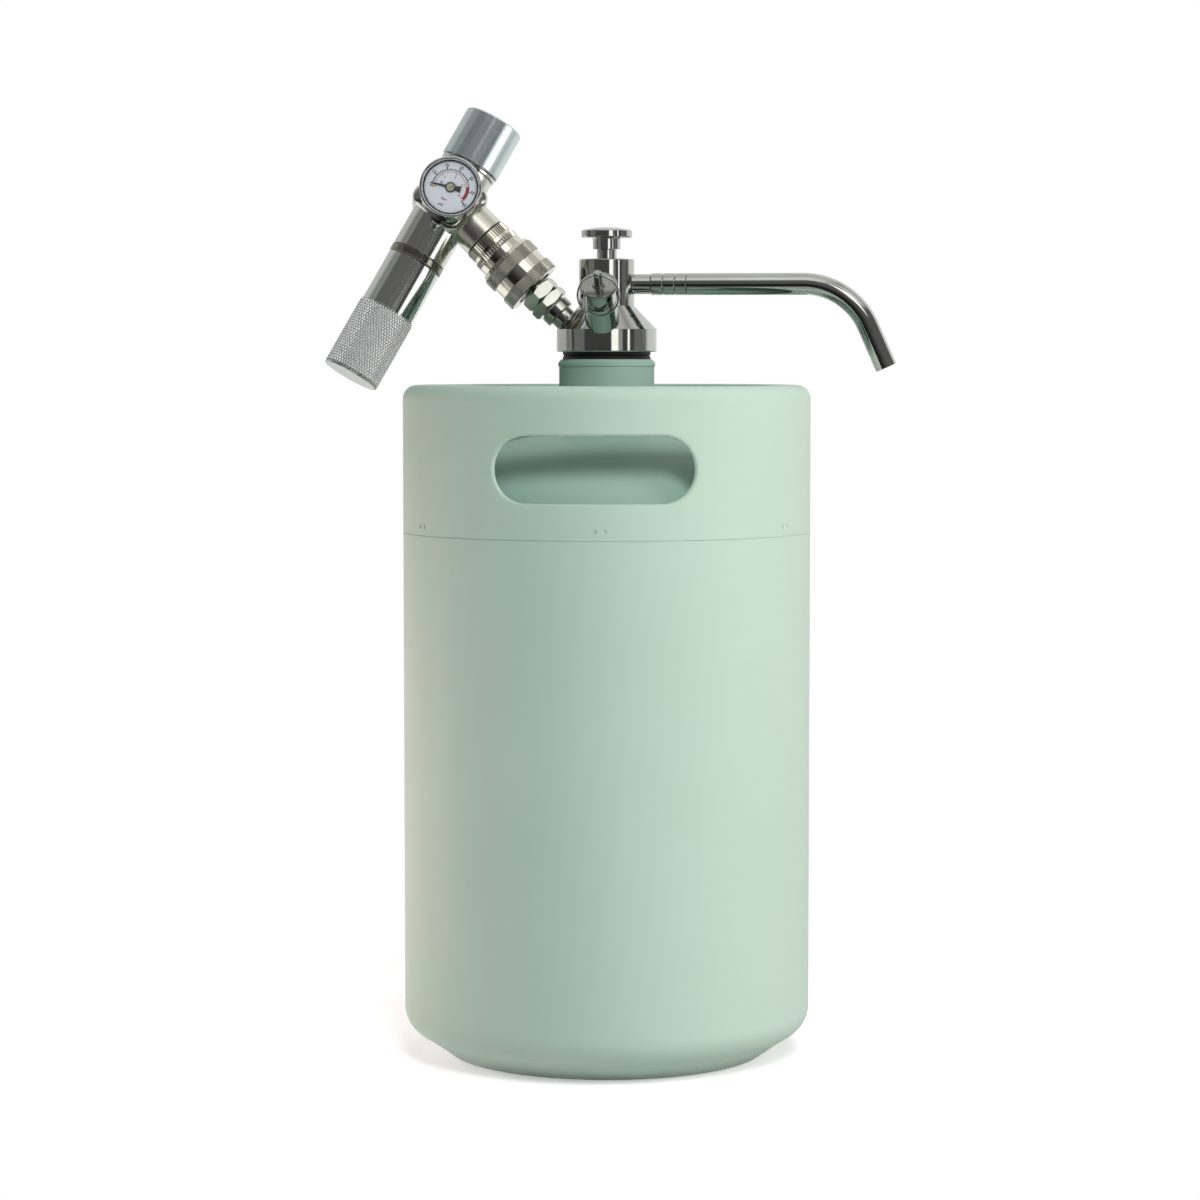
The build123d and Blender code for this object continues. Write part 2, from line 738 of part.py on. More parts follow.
with BuildPart() as seat_washer:
    turn_rod(keg_base, washer_radius, washer_top - washer_height, washer_top)
keep(seat_washer, "seat_washer")

# Flow knob: hub and wide disc with a shallow crown
with BuildPart() as flow_knob:
    crown_edge = knob_radius - knob_chamfer
    crown_radius = (crown_edge**2 + knob_crown**2) / (2 * knob_crown)
    crown_angle = degrees(asin(crown_edge / crown_radius))
    with BuildSketch(Plane.XZ):
        with BuildLine():
            Polyline((0, knob_edge_top + knob_crown), (0, knob_socket_top),
                     (stem_neck_radius + fit, knob_socket_top),
                     (stem_neck_radius + fit, knob_foot), (knob_hub_radius, knob_foot),
                     (knob_hub_radius, knob_edge_foot), (crown_edge, knob_edge_foot),
                     (knob_radius, knob_edge_foot + knob_chamfer),
                     (knob_radius, knob_edge_top - knob_chamfer), (crown_edge, knob_edge_top))
            CenterArc((0, knob_edge_top + knob_crown - crown_radius), crown_radius,
                      90 - crown_angle, crown_angle)
        make_face()
    revolve(axis=Axis.Z)
keep(flow_knob, "flow_knob")

# ================ Spout ================

# Nipple: fixed in the head, with the spigot that the spout turns on
with BuildPart() as spout_nipple:
    first_ring = nipple_reach + spigot_ring_first
    second_ring = first_ring + spigot_ring_spacing
    spigot_end = nipple_reach + spigot_length
    turn(spout_base, (nipple_bore, nipple_start), (nipple_root_radius, nipple_start),
         (nipple_root_radius, nipple_seat), (nipple_radius, nipple_seat),
         (nipple_radius, nipple_reach), (spigot_radius, nipple_reach),
         (spigot_radius, spigot_end), (nipple_bore, spigot_end))
    for ring_station in (first_ring, second_ring):
        turn_tube(spout_base, spigot_ring_groove_radius, spigot_radius,
                  ring_station - spigot_ring_width / 2, ring_station + spigot_ring_width / 2,
                  Mode.SUBTRACT)
keep(spout_nipple, "spout_nipple")

with BuildPart() as spout_o_rings:
    turn_ring(spout_base, spigot_ring_groove_radius, spigot_radius + fit, first_ring)
    turn_ring(spout_base, spigot_ring_groove_radius, spigot_radius + fit, second_ring)
keep(spout_o_rings, "spout_o_rings")

# Ferrule: the grooved root of the spout, turns on the nipple's spigot
with BuildPart() as spout_ferrule:
    tail_radius = spout_radius - spout_wall - fit
    turn(spout_base, (spigot_radius + fit, ferrule_start), (spout_radius, ferrule_start),
         (spout_radius, ferrule_end), (tail_radius, ferrule_end),
         (tail_radius, ferrule_end + ferrule_tail), (nipple_bore, ferrule_end + ferrule_tail),
         (nipple_bore, ferrule_end), (spigot_radius + fit, ferrule_end))
    for groove_station in (ferrule_start, ferrule_start + ferrule_groove_spacing,
                           ferrule_start + 2 * ferrule_groove_spacing, ferrule_end):
        turn(spout_base, (spout_radius - ferrule_groove, groove_station),
             (spout_radius + ferrule_groove, groove_station - 2 * ferrule_groove),
             (spout_radius + ferrule_groove, groove_station + 2 * ferrule_groove),
             mode=Mode.SUBTRACT)
keep(spout_ferrule, "spout_ferrule")

# Spout tube: straight run, one bend down and a square-cut end
with BuildPart() as spout_tube:
    bend_sine = sin(radians(spout_bend))
    bend_cosine = cos(radians(spout_bend))
    bend_end = (bend_start + spout_bend_radius * bend_sine, -spout_bend_radius * (1 - bend_cosine))
    with BuildLine(Plane(origin=spout_base.origin, x_dir=head_x, z_dir=head_y * -1)) as spout_path:
        Line((ferrule_end, 0), (bend_start, 0))
        CenterArc((bend_start, -spout_bend_radius), spout_bend_radius, 90, -spout_bend)
        Line(bend_end, (bend_end[0] + spout_drop * bend_cosine, bend_end[1] - spout_drop * bend_sine))
    with BuildSketch(spout_base.offset(ferrule_end)):
        Circle(spout_radius)
        Circle(spout_radius - spout_wall, mode=Mode.SUBTRACT)
    sweep(path=spout_path.line)
keep(spout_tube, "spout_tube")

# ================ Relief valve ================

# Body: boss, groove and barrel with three vent holes
with BuildPart() as relief_body:
    relief_groove_end = relief_groove_start + relief_groove_width
    groove_bottom = relief_barrel_radius - relief_groove_depth
    turn(relief_base, (relief_inlet_radius, relief_spigot_start),
         (relief_spigot_radius, relief_spigot_start), (relief_spigot_radius, relief_foot),
         (relief_boss_radius, relief_foot), (relief_boss_radius, relief_groove_start),
         (groove_bottom, relief_groove_start), (groove_bottom, relief_groove_end),
         (relief_barrel_radius, relief_groove_end), (relief_barrel_radius, relief_cap_start),
         (relief_chamber_radius, relief_cap_start), (relief_chamber_radius, relief_seat),
         (relief_inlet_radius, relief_seat))
    with Locations(relief_base.offset(vent_station)):
        with PolarLocations(relief_barrel_radius, vent_count, start_angle=vent_turn):
            Cylinder(vent_radius, relief_chamber_radius, rotation=(0, 90, 0), mode=Mode.SUBTRACT)
keep(relief_body, "relief_body")

# Cap: pressed into the barrel, guides the pin
with BuildPart() as relief_cap:
    turn_rod(relief_base, relief_chamber_radius - fit, relief_cap_start - relief_cap_spigot,
             relief_cap_start)
    turn_rod(relief_base, relief_cap_radius, relief_cap_start, relief_cap_top)
    turn_rod(relief_base, relief_boss_top_radius, relief_cap_top,
             relief_cap_top + relief_boss_top_height)
    turn_rod(relief_base, relief_pin_radius + fit, relief_cap_start - relief_cap_spigot,
             relief_pin_end, Mode.SUBTRACT)
keep(relief_cap, "relief_cap")

# Pin: sealing disc and the stem that the pull ring lifts
with BuildPart() as relief_pin:
    turn_rod(relief_base, relief_disc_radius, relief_disc_start, relief_spring_start)
    turn_rod(relief_base, relief_pin_radius, relief_spring_start, relief_pin_end)
    with BuildSketch(Plane(origin=relief_base.offset(ring_hole_station).origin, z_dir=head_x)):
        Circle(ring_hole_radius)
    extrude(amount=2 * relief_pin_radius, both=True, mode=Mode.SUBTRACT)
keep(relief_pin, "relief_pin")

with BuildPart() as relief_seal:
    turn_rod(relief_base, relief_seal_radius, relief_seat + face_gap, relief_disc_start)
keep(relief_seal, "relief_seal")

with BuildPart() as relief_spring:
    wind_spring(relief_base, relief_spring_radius, relief_spring_wire, relief_spring_start,
                relief_spring_end, relief_spring_turns)
keep(relief_spring, "relief_spring")

# Pull ring: hangs from the hole through the pin
with BuildPart() as pull_ring:
    ring_drop = head_y * sin(radians(ring_lean)) - up * cos(radians(ring_lean))
    ring_centre = relief_base.offset(ring_hole_station).origin + ring_drop * ring_radius
    ring_base = Plane(origin=ring_centre, x_dir=head_x, z_dir=head_x.cross(ring_drop))
    turn_tube(ring_base, ring_radius - ring_wire / 2, ring_radius + ring_wire / 2,
              -ring_thickness / 2, ring_thickness / 2)
keep(pull_ring, "pull_ring")

# ================ Gas post and ball-lock coupler ================

with BuildPart() as gas_post:
    turn_rod(post_base, post_spigot_radius, post_spigot_start, post_foot)
    turn_rod(post_base, post_radius, post_foot, post_flange_start)
    turn_rod(post_base, post_flange_radius, post_flange_start, post_flange_end)
    turn_rod(post_base, post_nose_radius, post_flange_end, post_nose_end)
    turn_rod(post_base, gas_way, post_spigot_start, post_nose_end, Mode.SUBTRACT)
keep(gas_post, "gas_post")

with BuildPart() as post_washer:
    turn_tube(post_base, post_nose_radius + fit, post_washer_radius, post_flange_end, nut_start)
keep(post_washer, "post_washer")

# Adapter nut: joins the plug's tail to the post's nose
with BuildPart() as adapter_nut:
    with BuildSketch(post_base.offset(nut_start)):
        RegularPolygon(nut_flats / 2, 6, major_radius=False)
        Circle(post_nose_radius + fit, mode=Mode.SUBTRACT)
    extrude(amount=nut_end - nut_start)
keep(adapter_nut, "adapter_nut")

# Coupler plug: hexagon and nose with the groove that the balls lock into
with BuildPart() as coupler_plug:
    turn_rod(post_base, post_nose_radius, plug_tail_start, plug_start)
    with BuildSketch(post_base.offset(plug_start)):
        RegularPolygon(plug_flats / 2, 6, major_radius=False)
    extrude(amount=plug_end - plug_start)
    turn(post_base, (0, plug_end), (plug_nose_radius, plug_end),
         (plug_nose_radius, plug_tip - plug_tip_chamfer),
         (plug_nose_radius - plug_tip_chamfer, plug_tip), (0, plug_tip))
    with BuildSketch(side_plane(post_base)):
        with Locations((ball_orbit, ball_station)):
            Circle(ball_radius + fit)
    revolve(axis=Axis(post_base.origin, post_base.z_dir), mode=Mode.SUBTRACT)
    turn_rod(post_base, gas_way, plug_tail_start, plug_tip, Mode.SUBTRACT)
keep(coupler_plug, "coupler_plug")

# Coupler body: takes the plug's nose, carries the balls and holds the check valve
with BuildPart() as coupler_body:
    turn(post_base, (plug_nose_radius + fit, body_start), (body_radius, body_start),
         (body_radius, snap_ring_start), (snap_ring_inner, snap_ring_start),
         (snap_ring_inner, snap_ring_start + snap_ring_width),
         (body_radius, snap_ring_start + snap_ring_width), (body_radius, body_flange_start),
         (body_flange_radius, body_flange_start), (body_flange_radius, body_flange_end),
         (body_tail_radius, body_flange_end), (body_tail_radius, body_tail_end),
         (check_way, body_tail_end), (check_way, check_chamber_end),
         (check_chamber_radius, check_chamber_end), (check_chamber_radius, check_chamber_start),
         (check_seat_radius, check_chamber_start), (check_seat_radius, body_bore_end),
         (plug_nose_radius + fit, body_bore_end),
         (plug_nose_radius + fit, body_ring_groove + body_ring_groove_width),
         (body_ring_groove_radius, body_ring_groove + body_ring_groove_width),
         (body_ring_groove_radius, body_ring_groove), (plug_nose_radius + fit, body_ring_groove))
    with Locations(post_base.offset(ball_station)):
        with PolarLocations(ball_orbit, ball_count):
            Cylinder(ball_radius + fit, 2 * body_radius - 2 * plug_nose_radius,
                     rotation=(0, 90, 0), mode=Mode.SUBTRACT)
keep(coupler_body, "coupler_body")

# Locking balls: held in the plug's groove by the sleeve's land
with BuildPart() as locking_balls:
    with Locations(post_base.offset(ball_station)):
        with PolarLocations(ball_orbit, ball_count):
            Sphere(ball_radius)
keep(locking_balls, "locking_balls")

with BuildPart() as snap_ring:
    turn_tube(post_base, snap_ring_inner, snap_ring_radius, snap_ring_start,
              snap_ring_start + snap_ring_width)
keep(snap_ring, "snap_ring")

with BuildPart() as coupler_o_ring:
    turn_ring(post_base, plug_nose_radius + fit, body_ring_groove_radius,
              body_ring_groove + body_ring_groove_width / 2)
keep(coupler_o_ring, "coupler_o_ring")

# Check poppet: pushed off its seat by the plug's tip
with BuildPart() as check_poppet:
    turn_rod(post_base, poppet_stem_radius, poppet_start, poppet_end)
    turn_rod(post_base, poppet_disc_radius, poppet_disc_start, poppet_disc_end)
keep(check_poppet, "check_poppet")

with BuildPart() as check_spring:
    wind_spring(post_base, check_spring_radius, check_spring_wire, poppet_disc_end,
                check_chamber_end, check_spring_turns)
keep(check_spring, "check_spring")

# Coupler sleeve: two bands outside; recess, land, spring pocket and skirt inside
with BuildPart() as coupler_sleeve:
    turn(post_base, (sleeve_recess_radius, sleeve_start),
         (sleeve_radius - sleeve_edge, sleeve_start), (sleeve_radius, sleeve_start + sleeve_edge),
         (sleeve_radius, sleeve_band_end - sleeve_edge),
         (sleeve_radius - sleeve_edge, sleeve_band_end), (sleeve_middle_radius, sleeve_band_end),
         (sleeve_middle_radius, sleeve_middle_end),
         (sleeve_radius - sleeve_edge, sleeve_middle_end),
         (sleeve_radius, sleeve_middle_end + sleeve_edge),
         (sleeve_radius, sleeve_knurl_end - sleeve_edge),
         (sleeve_radius - sleeve_edge, sleeve_knurl_end), (sleeve_tail_radius, sleeve_end),
         (sleeve_skirt_radius, sleeve_end), (sleeve_skirt_radius, sleeve_pocket_end),
         (sleeve_pocket_radius, sleeve_pocket_end), (sleeve_pocket_radius, sleeve_land_end),
         (sleeve_land_radius, sleeve_land_end), (sleeve_land_radius, sleeve_land_start),
         (sleeve_recess_radius, sleeve_land_start))
keep(coupler_sleeve, "coupler_sleeve")

with BuildPart() as sleeve_spring:
    wind_spring(post_base, sleeve_spring_radius, sleeve_spring_wire, sleeve_land_end,
                sleeve_spring_end, sleeve_spring_turns)
keep(sleeve_spring, "sleeve_spring")

# Fluted adapter: two fluted bands, joins the coupler's tail to the regulator's outlet
with BuildPart() as fluted_adapter:
    turn(post_base, (body_tail_radius + fit, body_flange_end), (adapter_radius, body_flange_end),
         (adapter_radius, adapter_front_end), (adapter_groove_radius, adapter_front_end),
         (adapter_groove_radius, adapter_rear_start), (adapter_rear_radius, adapter_rear_start),
         (adapter_rear_radius, adapter_end), (outlet_spigot_radius + fit, adapter_end),
         (outlet_spigot_radius + fit, adapter_step), (body_tail_radius + fit, adapter_step))
    for band_start, band_end, flute_radius in (
            (adapter_flute_start, adapter_front_end, adapter_radius),
            (adapter_rear_start, adapter_end, adapter_rear_radius)):
        with BuildSketch(post_base.offset(band_start)):
            with PolarLocations(flute_radius, flute_count):
                Rectangle(2 * flute_depth, 2 * flute_depth, rotation=45)
        extrude(amount=band_end - band_start, mode=Mode.SUBTRACT)
keep(fluted_adapter, "fluted_adapter")

with BuildPart() as outlet_seal:
    turn_tube(post_base, outlet_spigot_radius + fit, outlet_radius - face_gap, adapter_end,
              adapter_end + outlet_seal_width)
keep(outlet_seal, "outlet_seal")

# ================ Regulator ================

# Body: centre block, tube, outlet stub, threaded nose for the bulb and spigot for the knob
with BuildPart() as regulator_body:
    with BuildSketch(block_base.offset(-block_front)):
        with Locations((0, -block_lift)):
            RectangleRounded(block_length, block_height, block_fillet)
    extrude(amount=block_depth)
    fillet(regulator_body.faces().sort_by(Axis(hub, gauge_out))[-1].edges(), block_edge)
    fillet(regulator_body.faces().sort_by(Axis(hub, gauge_out))[0].edges(), block_edge)
    turn_rod(outlet_base, outlet_radius, 0, outlet_face)
    turn_rod(outlet_base, outlet_spigot_radius, outlet_face, outlet_face + outlet_spigot_length)
    ring_groove_start = knob_ring_start - fit
    ring_groove_end = knob_ring_start + knob_ring_width + fit
    turn(regulator_base, (0, -nose_end), (nose_radius, -nose_end),
         (nose_radius, -body_tube_end), (body_tube_radius, -body_tube_end),
         (body_tube_radius, top_neck_start), (top_neck_radius, top_neck_start),
         (top_neck_radius, top_flange_start), (top_flange_radius, top_flange_start),
         (top_flange_radius, top_flange_end), (bonnet_spigot_radius, top_flange_end),
         (bonnet_spigot_radius, ring_groove_start), (knob_ring_inner, ring_groove_start),
         (knob_ring_inner, ring_groove_end), (bonnet_spigot_radius, ring_groove_end),
         (bonnet_spigot_radius, bonnet_spigot_end), (0, bonnet_spigot_end))
    turn(regulator_base, (0, -nose_end), (bulb_room_radius, -nose_end),
         (bulb_room_radius, -bulb_room_top), (bulb_socket_radius, -bulb_room_top),
         (bulb_socket_radius, -bulb_socket_top), (inlet_way, -bulb_socket_top),
         (inlet_way, -seat_depth), (outlet_way, -seat_depth), (outlet_way, piston_bore_floor),
         (piston_bore, piston_bore_floor), (piston_bore, bonnet_spigot_end),
         (0, bonnet_spigot_end), mode=Mode.SUBTRACT)
    with BuildSketch(regulator_base.offset(key_start)):
        Rectangle(2 * key_reach, key_width)
    extrude(amount=bonnet_spigot_end - key_start, mode=Mode.SUBTRACT)
    turn_rod(outlet_base, outlet_way, 0, outlet_face + outlet_spigot_length, Mode.SUBTRACT)
    turn_rod(gauge_base, gauge_way, 0, gauge_stem_start, Mode.SUBTRACT)
    turn_rod(gauge_base, gauge_stem_radius + fit, gauge_stem_start, block_front, Mode.SUBTRACT)
keep(regulator_body, "regulator_body")

# Knob ring: keeps the adjusting knob on its spigot
with BuildPart() as knob_ring:
    turn_tube(regulator_base, knob_ring_inner, knob_ring_outer, knob_ring_start,
              knob_ring_start + knob_ring_width)
keep(knob_ring, "knob_ring")

# Adjusting knob: a cup with a spindle that drives the pressure nut
with BuildPart() as adjusting_knob:
    knob_lid_start = adjusting_knob_end - adjusting_knob_lid
    knob_groove_start = knob_ring_start - face_gap
    knob_groove_end = knob_ring_start + knob_ring_width + face_gap
    knob_groove_radius = knob_ring_outer + 2 * face_gap
    knob_top_radius = adjusting_knob_radius - adjusting_knob_chamfer
    turn(regulator_base, (0, spindle_end), (spindle_radius, spindle_end),
         (spindle_radius, knob_lid_start), (adjusting_knob_bore, knob_lid_start),
         (adjusting_knob_bore, knob_groove_end), (knob_groove_radius, knob_groove_end),
         (knob_groove_radius, knob_groove_start), (adjusting_knob_bore, knob_groove_start),
         (adjusting_knob_bore, adjusting_knob_start),
         (adjusting_knob_radius, adjusting_knob_start),
         (adjusting_knob_radius, adjusting_knob_end - adjusting_knob_chamfer),
         (knob_top_radius, adjusting_knob_end), (0, adjusting_knob_end))
keep(adjusting_knob, "adjusting_knob")

# Pressure nut: keyed to the body, driven along by the spindle
with BuildPart() as pressure_nut:
    with BuildSketch(regulator_base.offset(pressure_nut_start)):
        Circle(pressure_nut_radius)
        Rectangle(2 * (key_reach - face_gap), key_width - 2 * fit)
        Circle(spindle_radius + fit, mode=Mode.SUBTRACT)
    extrude(amount=pressure_nut_height)
keep(pressure_nut, "pressure_nut")

with BuildPart() as adjusting_spring:
    wind_spring(regulator_base, adjusting_spring_radius, adjusting_spring_wire,
                adjusting_spring_start, pressure_nut_start, adjusting_spring_turns)
keep(adjusting_spring, "adjusting_spring")

# Piston: sealed in its bore, its stem closes the gas inlet
with BuildPart() as piston:
    piston_groove_start = piston_start + piston_groove
    piston_groove_end = piston_groove_start + piston_groove_width
    turn(regulator_base, (0, face_gap - seat_depth), (piston_stem_radius, face_gap - seat_depth),
         (piston_stem_radius, piston_start), (piston_radius, piston_start),
         (piston_radius, piston_groove_start), (piston_groove_radius, piston_groove_start),
         (piston_groove_radius, piston_groove_end), (piston_radius, piston_groove_end),
         (piston_radius, piston_start + piston_height), (0, piston_start + piston_height))
keep(piston, "piston")

with BuildPart() as piston_seal:
    turn_ring(regulator_base, piston_groove_radius, piston_bore,
              (piston_groove_start + piston_groove_end) / 2)
keep(piston_seal, "piston_seal")

# Piercing pin: a hollow pin that opens the bulb's neck
with BuildPart() as piercing_pin:
    turn_tube(bulb_base, piercing_pin_bore, inlet_way, piercing_pin_start, piercing_pin_end)
keep(piercing_pin, "piercing_pin")

with BuildPart() as bulb_seal:
    turn_tube(bulb_base, bulb_seal_bore, bulb_neck_radius, bulb_socket_top,
              bulb_socket_top + bulb_seal_width)
keep(bulb_seal, "bulb_seal")

with BuildPart() as lock_ring:
    turn_tube(bulb_base, nose_radius, lock_ring_radius, body_tube_end, lock_ring_end)
keep(lock_ring, "lock_ring")

# Bulb sleeve: screws over the nose and pushes the bulb onto the pin
with BuildPart() as bulb_sleeve:
    turn(bulb_base, (nose_radius + face_gap, bulb_sleeve_start),
         (bulb_sleeve_radius, bulb_sleeve_start), (bulb_sleeve_radius, knurl_start),
         (knurl_radius - bulb_sleeve_chamfer, knurl_start),
         (knurl_radius, knurl_start + bulb_sleeve_chamfer),
         (knurl_radius, bulb_sleeve_end - bulb_sleeve_chamfer),
         (knurl_radius - bulb_sleeve_chamfer, bulb_sleeve_end), (0, bulb_sleeve_end),
         (0, bulb_sleeve_end - bulb_sleeve_floor),
         (bulb_room_radius, bulb_sleeve_end - bulb_sleeve_floor),
         (bulb_room_radius, bulb_sleeve_bore_end),
         (nose_radius + face_gap, bulb_sleeve_bore_end))
keep(bulb_sleeve, "bulb_sleeve")

# Gas bulb: pierced neck, round shoulder, long body
with BuildPart() as gas_bulb:
    bulb_end = bulb_top + bulb_length
    bulb_neck_end = bulb_top + bulb_neck_length
    shoulder_centre = bulb_neck_end + sqrt(bulb_radius**2 - bulb_neck_radius**2)
    shoulder_angle = degrees(acos(bulb_neck_radius / bulb_radius))
    cavity_radius = bulb_radius - bulb_wall
    cavity_angle = degrees(acos(bulb_hole_radius / cavity_radius))
    cavity_top = shoulder_centre - cavity_radius * sin(radians(cavity_angle))
    corner_centre = (bulb_radius - bulb_corner, bulb_end - bulb_corner)
    with BuildSketch(side_plane(bulb_base)):
        with BuildLine():
            Polyline((bulb_hole_radius, cavity_top), (bulb_hole_radius, bulb_top),
                     (bulb_neck_radius, bulb_top), (bulb_neck_radius, bulb_neck_end))
            CenterArc((0, shoulder_centre), bulb_radius, -shoulder_angle, shoulder_angle)
            Line((bulb_radius, shoulder_centre), (bulb_radius, corner_centre[1]))
            CenterArc(corner_centre, bulb_corner, 0, 90)
            Polyline((corner_centre[0], bulb_end), (0, bulb_end), (0, bulb_end - bulb_wall),
                     (corner_centre[0], bulb_end - bulb_wall))
            CenterArc(corner_centre, bulb_corner - bulb_wall, 0, 90)
            Line((cavity_radius, corner_centre[1]), (cavity_radius, shoulder_centre))
            CenterArc((0, shoulder_centre), cavity_radius, -cavity_angle, cavity_angle)
        make_face()
    revolve(axis=Axis(bulb_base.origin, bulb_base.z_dir))
keep(gas_bulb, "gas_bulb")

# ================ Pressure gauge ================

# Stem: spigot in the block, hexagon, and inside the case the arm that feeds the Bourdon tube
with BuildPart() as gauge_stem:
    arm_reach = bourdon_radius + bourdon_width / 2
    turn_rod(gauge_base, gauge_stem_radius, gauge_stem_start, block_front)
    with BuildSketch(gauge_base.offset(block_front)):
        RegularPolygon(gauge_hex_flats / 2, 6, major_radius=False)
    extrude(amount=gauge_case_start - block_front)
    turn_rod(gauge_base, gauge_post_radius, gauge_case_start, bourdon_start)
    with BuildSketch(gauge_base.offset(bourdon_start)):
        Circle(gauge_post_radius)
        Rectangle(bourdon_height, arm_reach, align=(Align.CENTER, Align.MAX))
    extrude(amount=bourdon_height)
    turn_rod(gauge_base, gauge_stem_bore, gauge_stem_start, bourdon_start, Mode.SUBTRACT)
keep(gauge_stem, "gauge_stem")

# Case: a cup with a ledge for the dial
with BuildPart() as gauge_case:
    case_inner = gauge_case_radius - gauge_case_wall
    dial_back = dial_front - dial_thickness
    turn(gauge_base, (gauge_post_radius, gauge_case_start), (gauge_case_radius, gauge_case_start),
         (gauge_case_radius, gauge_case_end), (case_inner, gauge_case_end),
         (case_inner, dial_back), (gauge_ledge_radius, dial_back),
         (case_inner, dial_back - gauge_case_wall),
         (case_inner, gauge_case_start + gauge_case_wall),
         (gauge_post_radius, gauge_case_start + gauge_case_wall))
keep(gauge_case, "gauge_case")

with BuildPart() as gauge_bezel:
    turn(gauge_base, (gauge_case_radius, bezel_start), (bezel_radius, bezel_start),
         (bezel_radius, gauge_front - bezel_edge), (bezel_radius - bezel_edge, gauge_front),
         (bezel_opening, gauge_front), (bezel_opening, gauge_front - lens_setback),
         (gauge_case_radius, gauge_front - lens_setback))
keep(gauge_bezel, "gauge_bezel")

with BuildPart() as gauge_lens:
    turn_rod(gauge_base, gauge_case_radius, gauge_case_end, gauge_front - lens_setback)
keep(gauge_lens, "gauge_lens")

with BuildPart() as lens_gasket:
    turn_tube(gauge_base, lens_gasket_radius, bezel_opening, dial_front, gauge_case_end)
keep(lens_gasket, "lens_gasket")

with BuildPart() as gauge_dial:
    turn_tube(gauge_base, needle_spindle_radius + face_gap, dial_radius, dial_back, dial_front)
keep(gauge_dial, "gauge_dial")

# Needle: tapered pointer, heavy tail and boss, resting on the stop pin
with BuildPart() as gauge_needle:
    across = (gauge_base.x_dir * cos(radians(needle_rest_angle))
              + gauge_base.y_dir * sin(radians(needle_rest_angle)))
    needle_origin = gauge_base.offset(needle_start).origin
    with BuildSketch(Plane(needle_origin, x_dir=across, z_dir=gauge_out)):
        with BuildLine():
            Polyline((-needle_tail_width / 2, -needle_tail), (needle_tail_width / 2, -needle_tail),
                     (needle_root_width / 2, 0), (needle_tip_width / 2, needle_length),
                     (-needle_tip_width / 2, needle_length), (-needle_root_width / 2, 0),
                     close=True)
        make_face()
        Circle(needle_boss_radius)
        Circle(needle_spindle_radius, mode=Mode.SUBTRACT)
    extrude(amount=needle_thickness)
keep(gauge_needle, "gauge_needle")

with BuildPart() as needle_hub:
    hub_start = needle_start + needle_thickness
    turn_rod(gauge_base, needle_spindle_radius, needle_spindle_start, hub_start)
    turn_rod(gauge_base, needle_hub_radius, hub_start, hub_start + needle_hub_height)
keep(needle_hub, "needle_hub")

# Stop pin: stands on the zero mark and holds the needle just above it
with BuildPart() as stop_pin:
    with Locations(gauge_base.offset(dial_front)):
        with PolarLocations(stop_pin_place, 1, start_angle=90 + dial_zero_angle):
            Cylinder(stop_pin_radius, stop_pin_height,
                     align=(Align.CENTER, Align.CENTER, Align.MIN))
keep(stop_pin, "stop_pin")

# Bourdon tube: a flat curved tube that straightens under pressure
with BuildPart() as bourdon_tube:
    bourdon_inner = bourdon_radius - bourdon_width / 2
    bourdon_outer = bourdon_radius + bourdon_width / 2
    with BuildSketch(gauge_base.offset(bourdon_start)):
        with BuildLine():
            outside = CenterArc((0, 0), bourdon_outer, bourdon_first, bourdon_sweep)
            inside = CenterArc((0, 0), bourdon_inner, bourdon_first, bourdon_sweep)
            Line(outside @ 0, inside @ 0)
            Line(outside @ 1, inside @ 1)
        make_face()
    extrude(amount=bourdon_height)
keep(bourdon_tube, "bourdon_tube")
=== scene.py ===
import json
import re
from math import asin, atan2, cos, degrees, pi, radians, sin, sqrt

import bmesh
import bpy
from mathutils import Matrix, Vector


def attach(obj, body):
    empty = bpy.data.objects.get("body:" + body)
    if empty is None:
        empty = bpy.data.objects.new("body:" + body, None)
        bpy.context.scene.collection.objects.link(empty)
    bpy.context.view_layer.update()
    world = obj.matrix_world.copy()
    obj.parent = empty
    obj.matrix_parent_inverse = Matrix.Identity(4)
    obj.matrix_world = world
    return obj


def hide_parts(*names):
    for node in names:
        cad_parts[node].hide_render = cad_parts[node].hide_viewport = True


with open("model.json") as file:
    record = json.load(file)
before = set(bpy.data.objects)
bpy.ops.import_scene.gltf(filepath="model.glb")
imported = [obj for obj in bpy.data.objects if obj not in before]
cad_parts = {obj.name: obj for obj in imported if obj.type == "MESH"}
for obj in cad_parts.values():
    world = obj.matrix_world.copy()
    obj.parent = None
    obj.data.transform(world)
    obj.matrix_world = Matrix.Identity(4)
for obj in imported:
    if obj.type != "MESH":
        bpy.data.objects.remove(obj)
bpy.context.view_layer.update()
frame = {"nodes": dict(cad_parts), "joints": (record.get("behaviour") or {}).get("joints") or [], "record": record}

print("frame loaded")

mm = 0.001
joints = {joint["name"]: joint for joint in frame["joints"]}
up = Vector((0, 0, 1))


def jointAxis(name):
    return Vector(joints[name]["axis"]).normalized()


def placeOn(origin, xDir, zDir):
    # a frame whose z runs along a piece's own axis
    zAxis = zDir.normalized()
    xAxis = (xDir - zAxis * xDir.dot(zAxis)).normalized()
    yAxis = zAxis.cross(xAxis)
    place = Matrix.Identity(4)
    for row in range(3):
        place[row][0], place[row][1], place[row][2] = xAxis[row], yAxis[row], zAxis[row]
        place[row][3] = origin[row]
    return place


# the axes that the pieces are turned about
portHeight = 307.0
hubStation = 99.1
headX = jointAxis("spout_swing")
headY = up.cross(headX)
port = Vector((0, 0, portHeight)) * mm
reliefOut = jointAxis("relief_lift")
couplerOut = jointAxis("regulator_swivel")
regulatorUp = -jointAxis("nut_travel")
gaugeOut = -jointAxis("needle_turn")
hub = port + couplerOut * hubStation * mm
gaugeRight = regulatorUp.cross(gaugeOut)


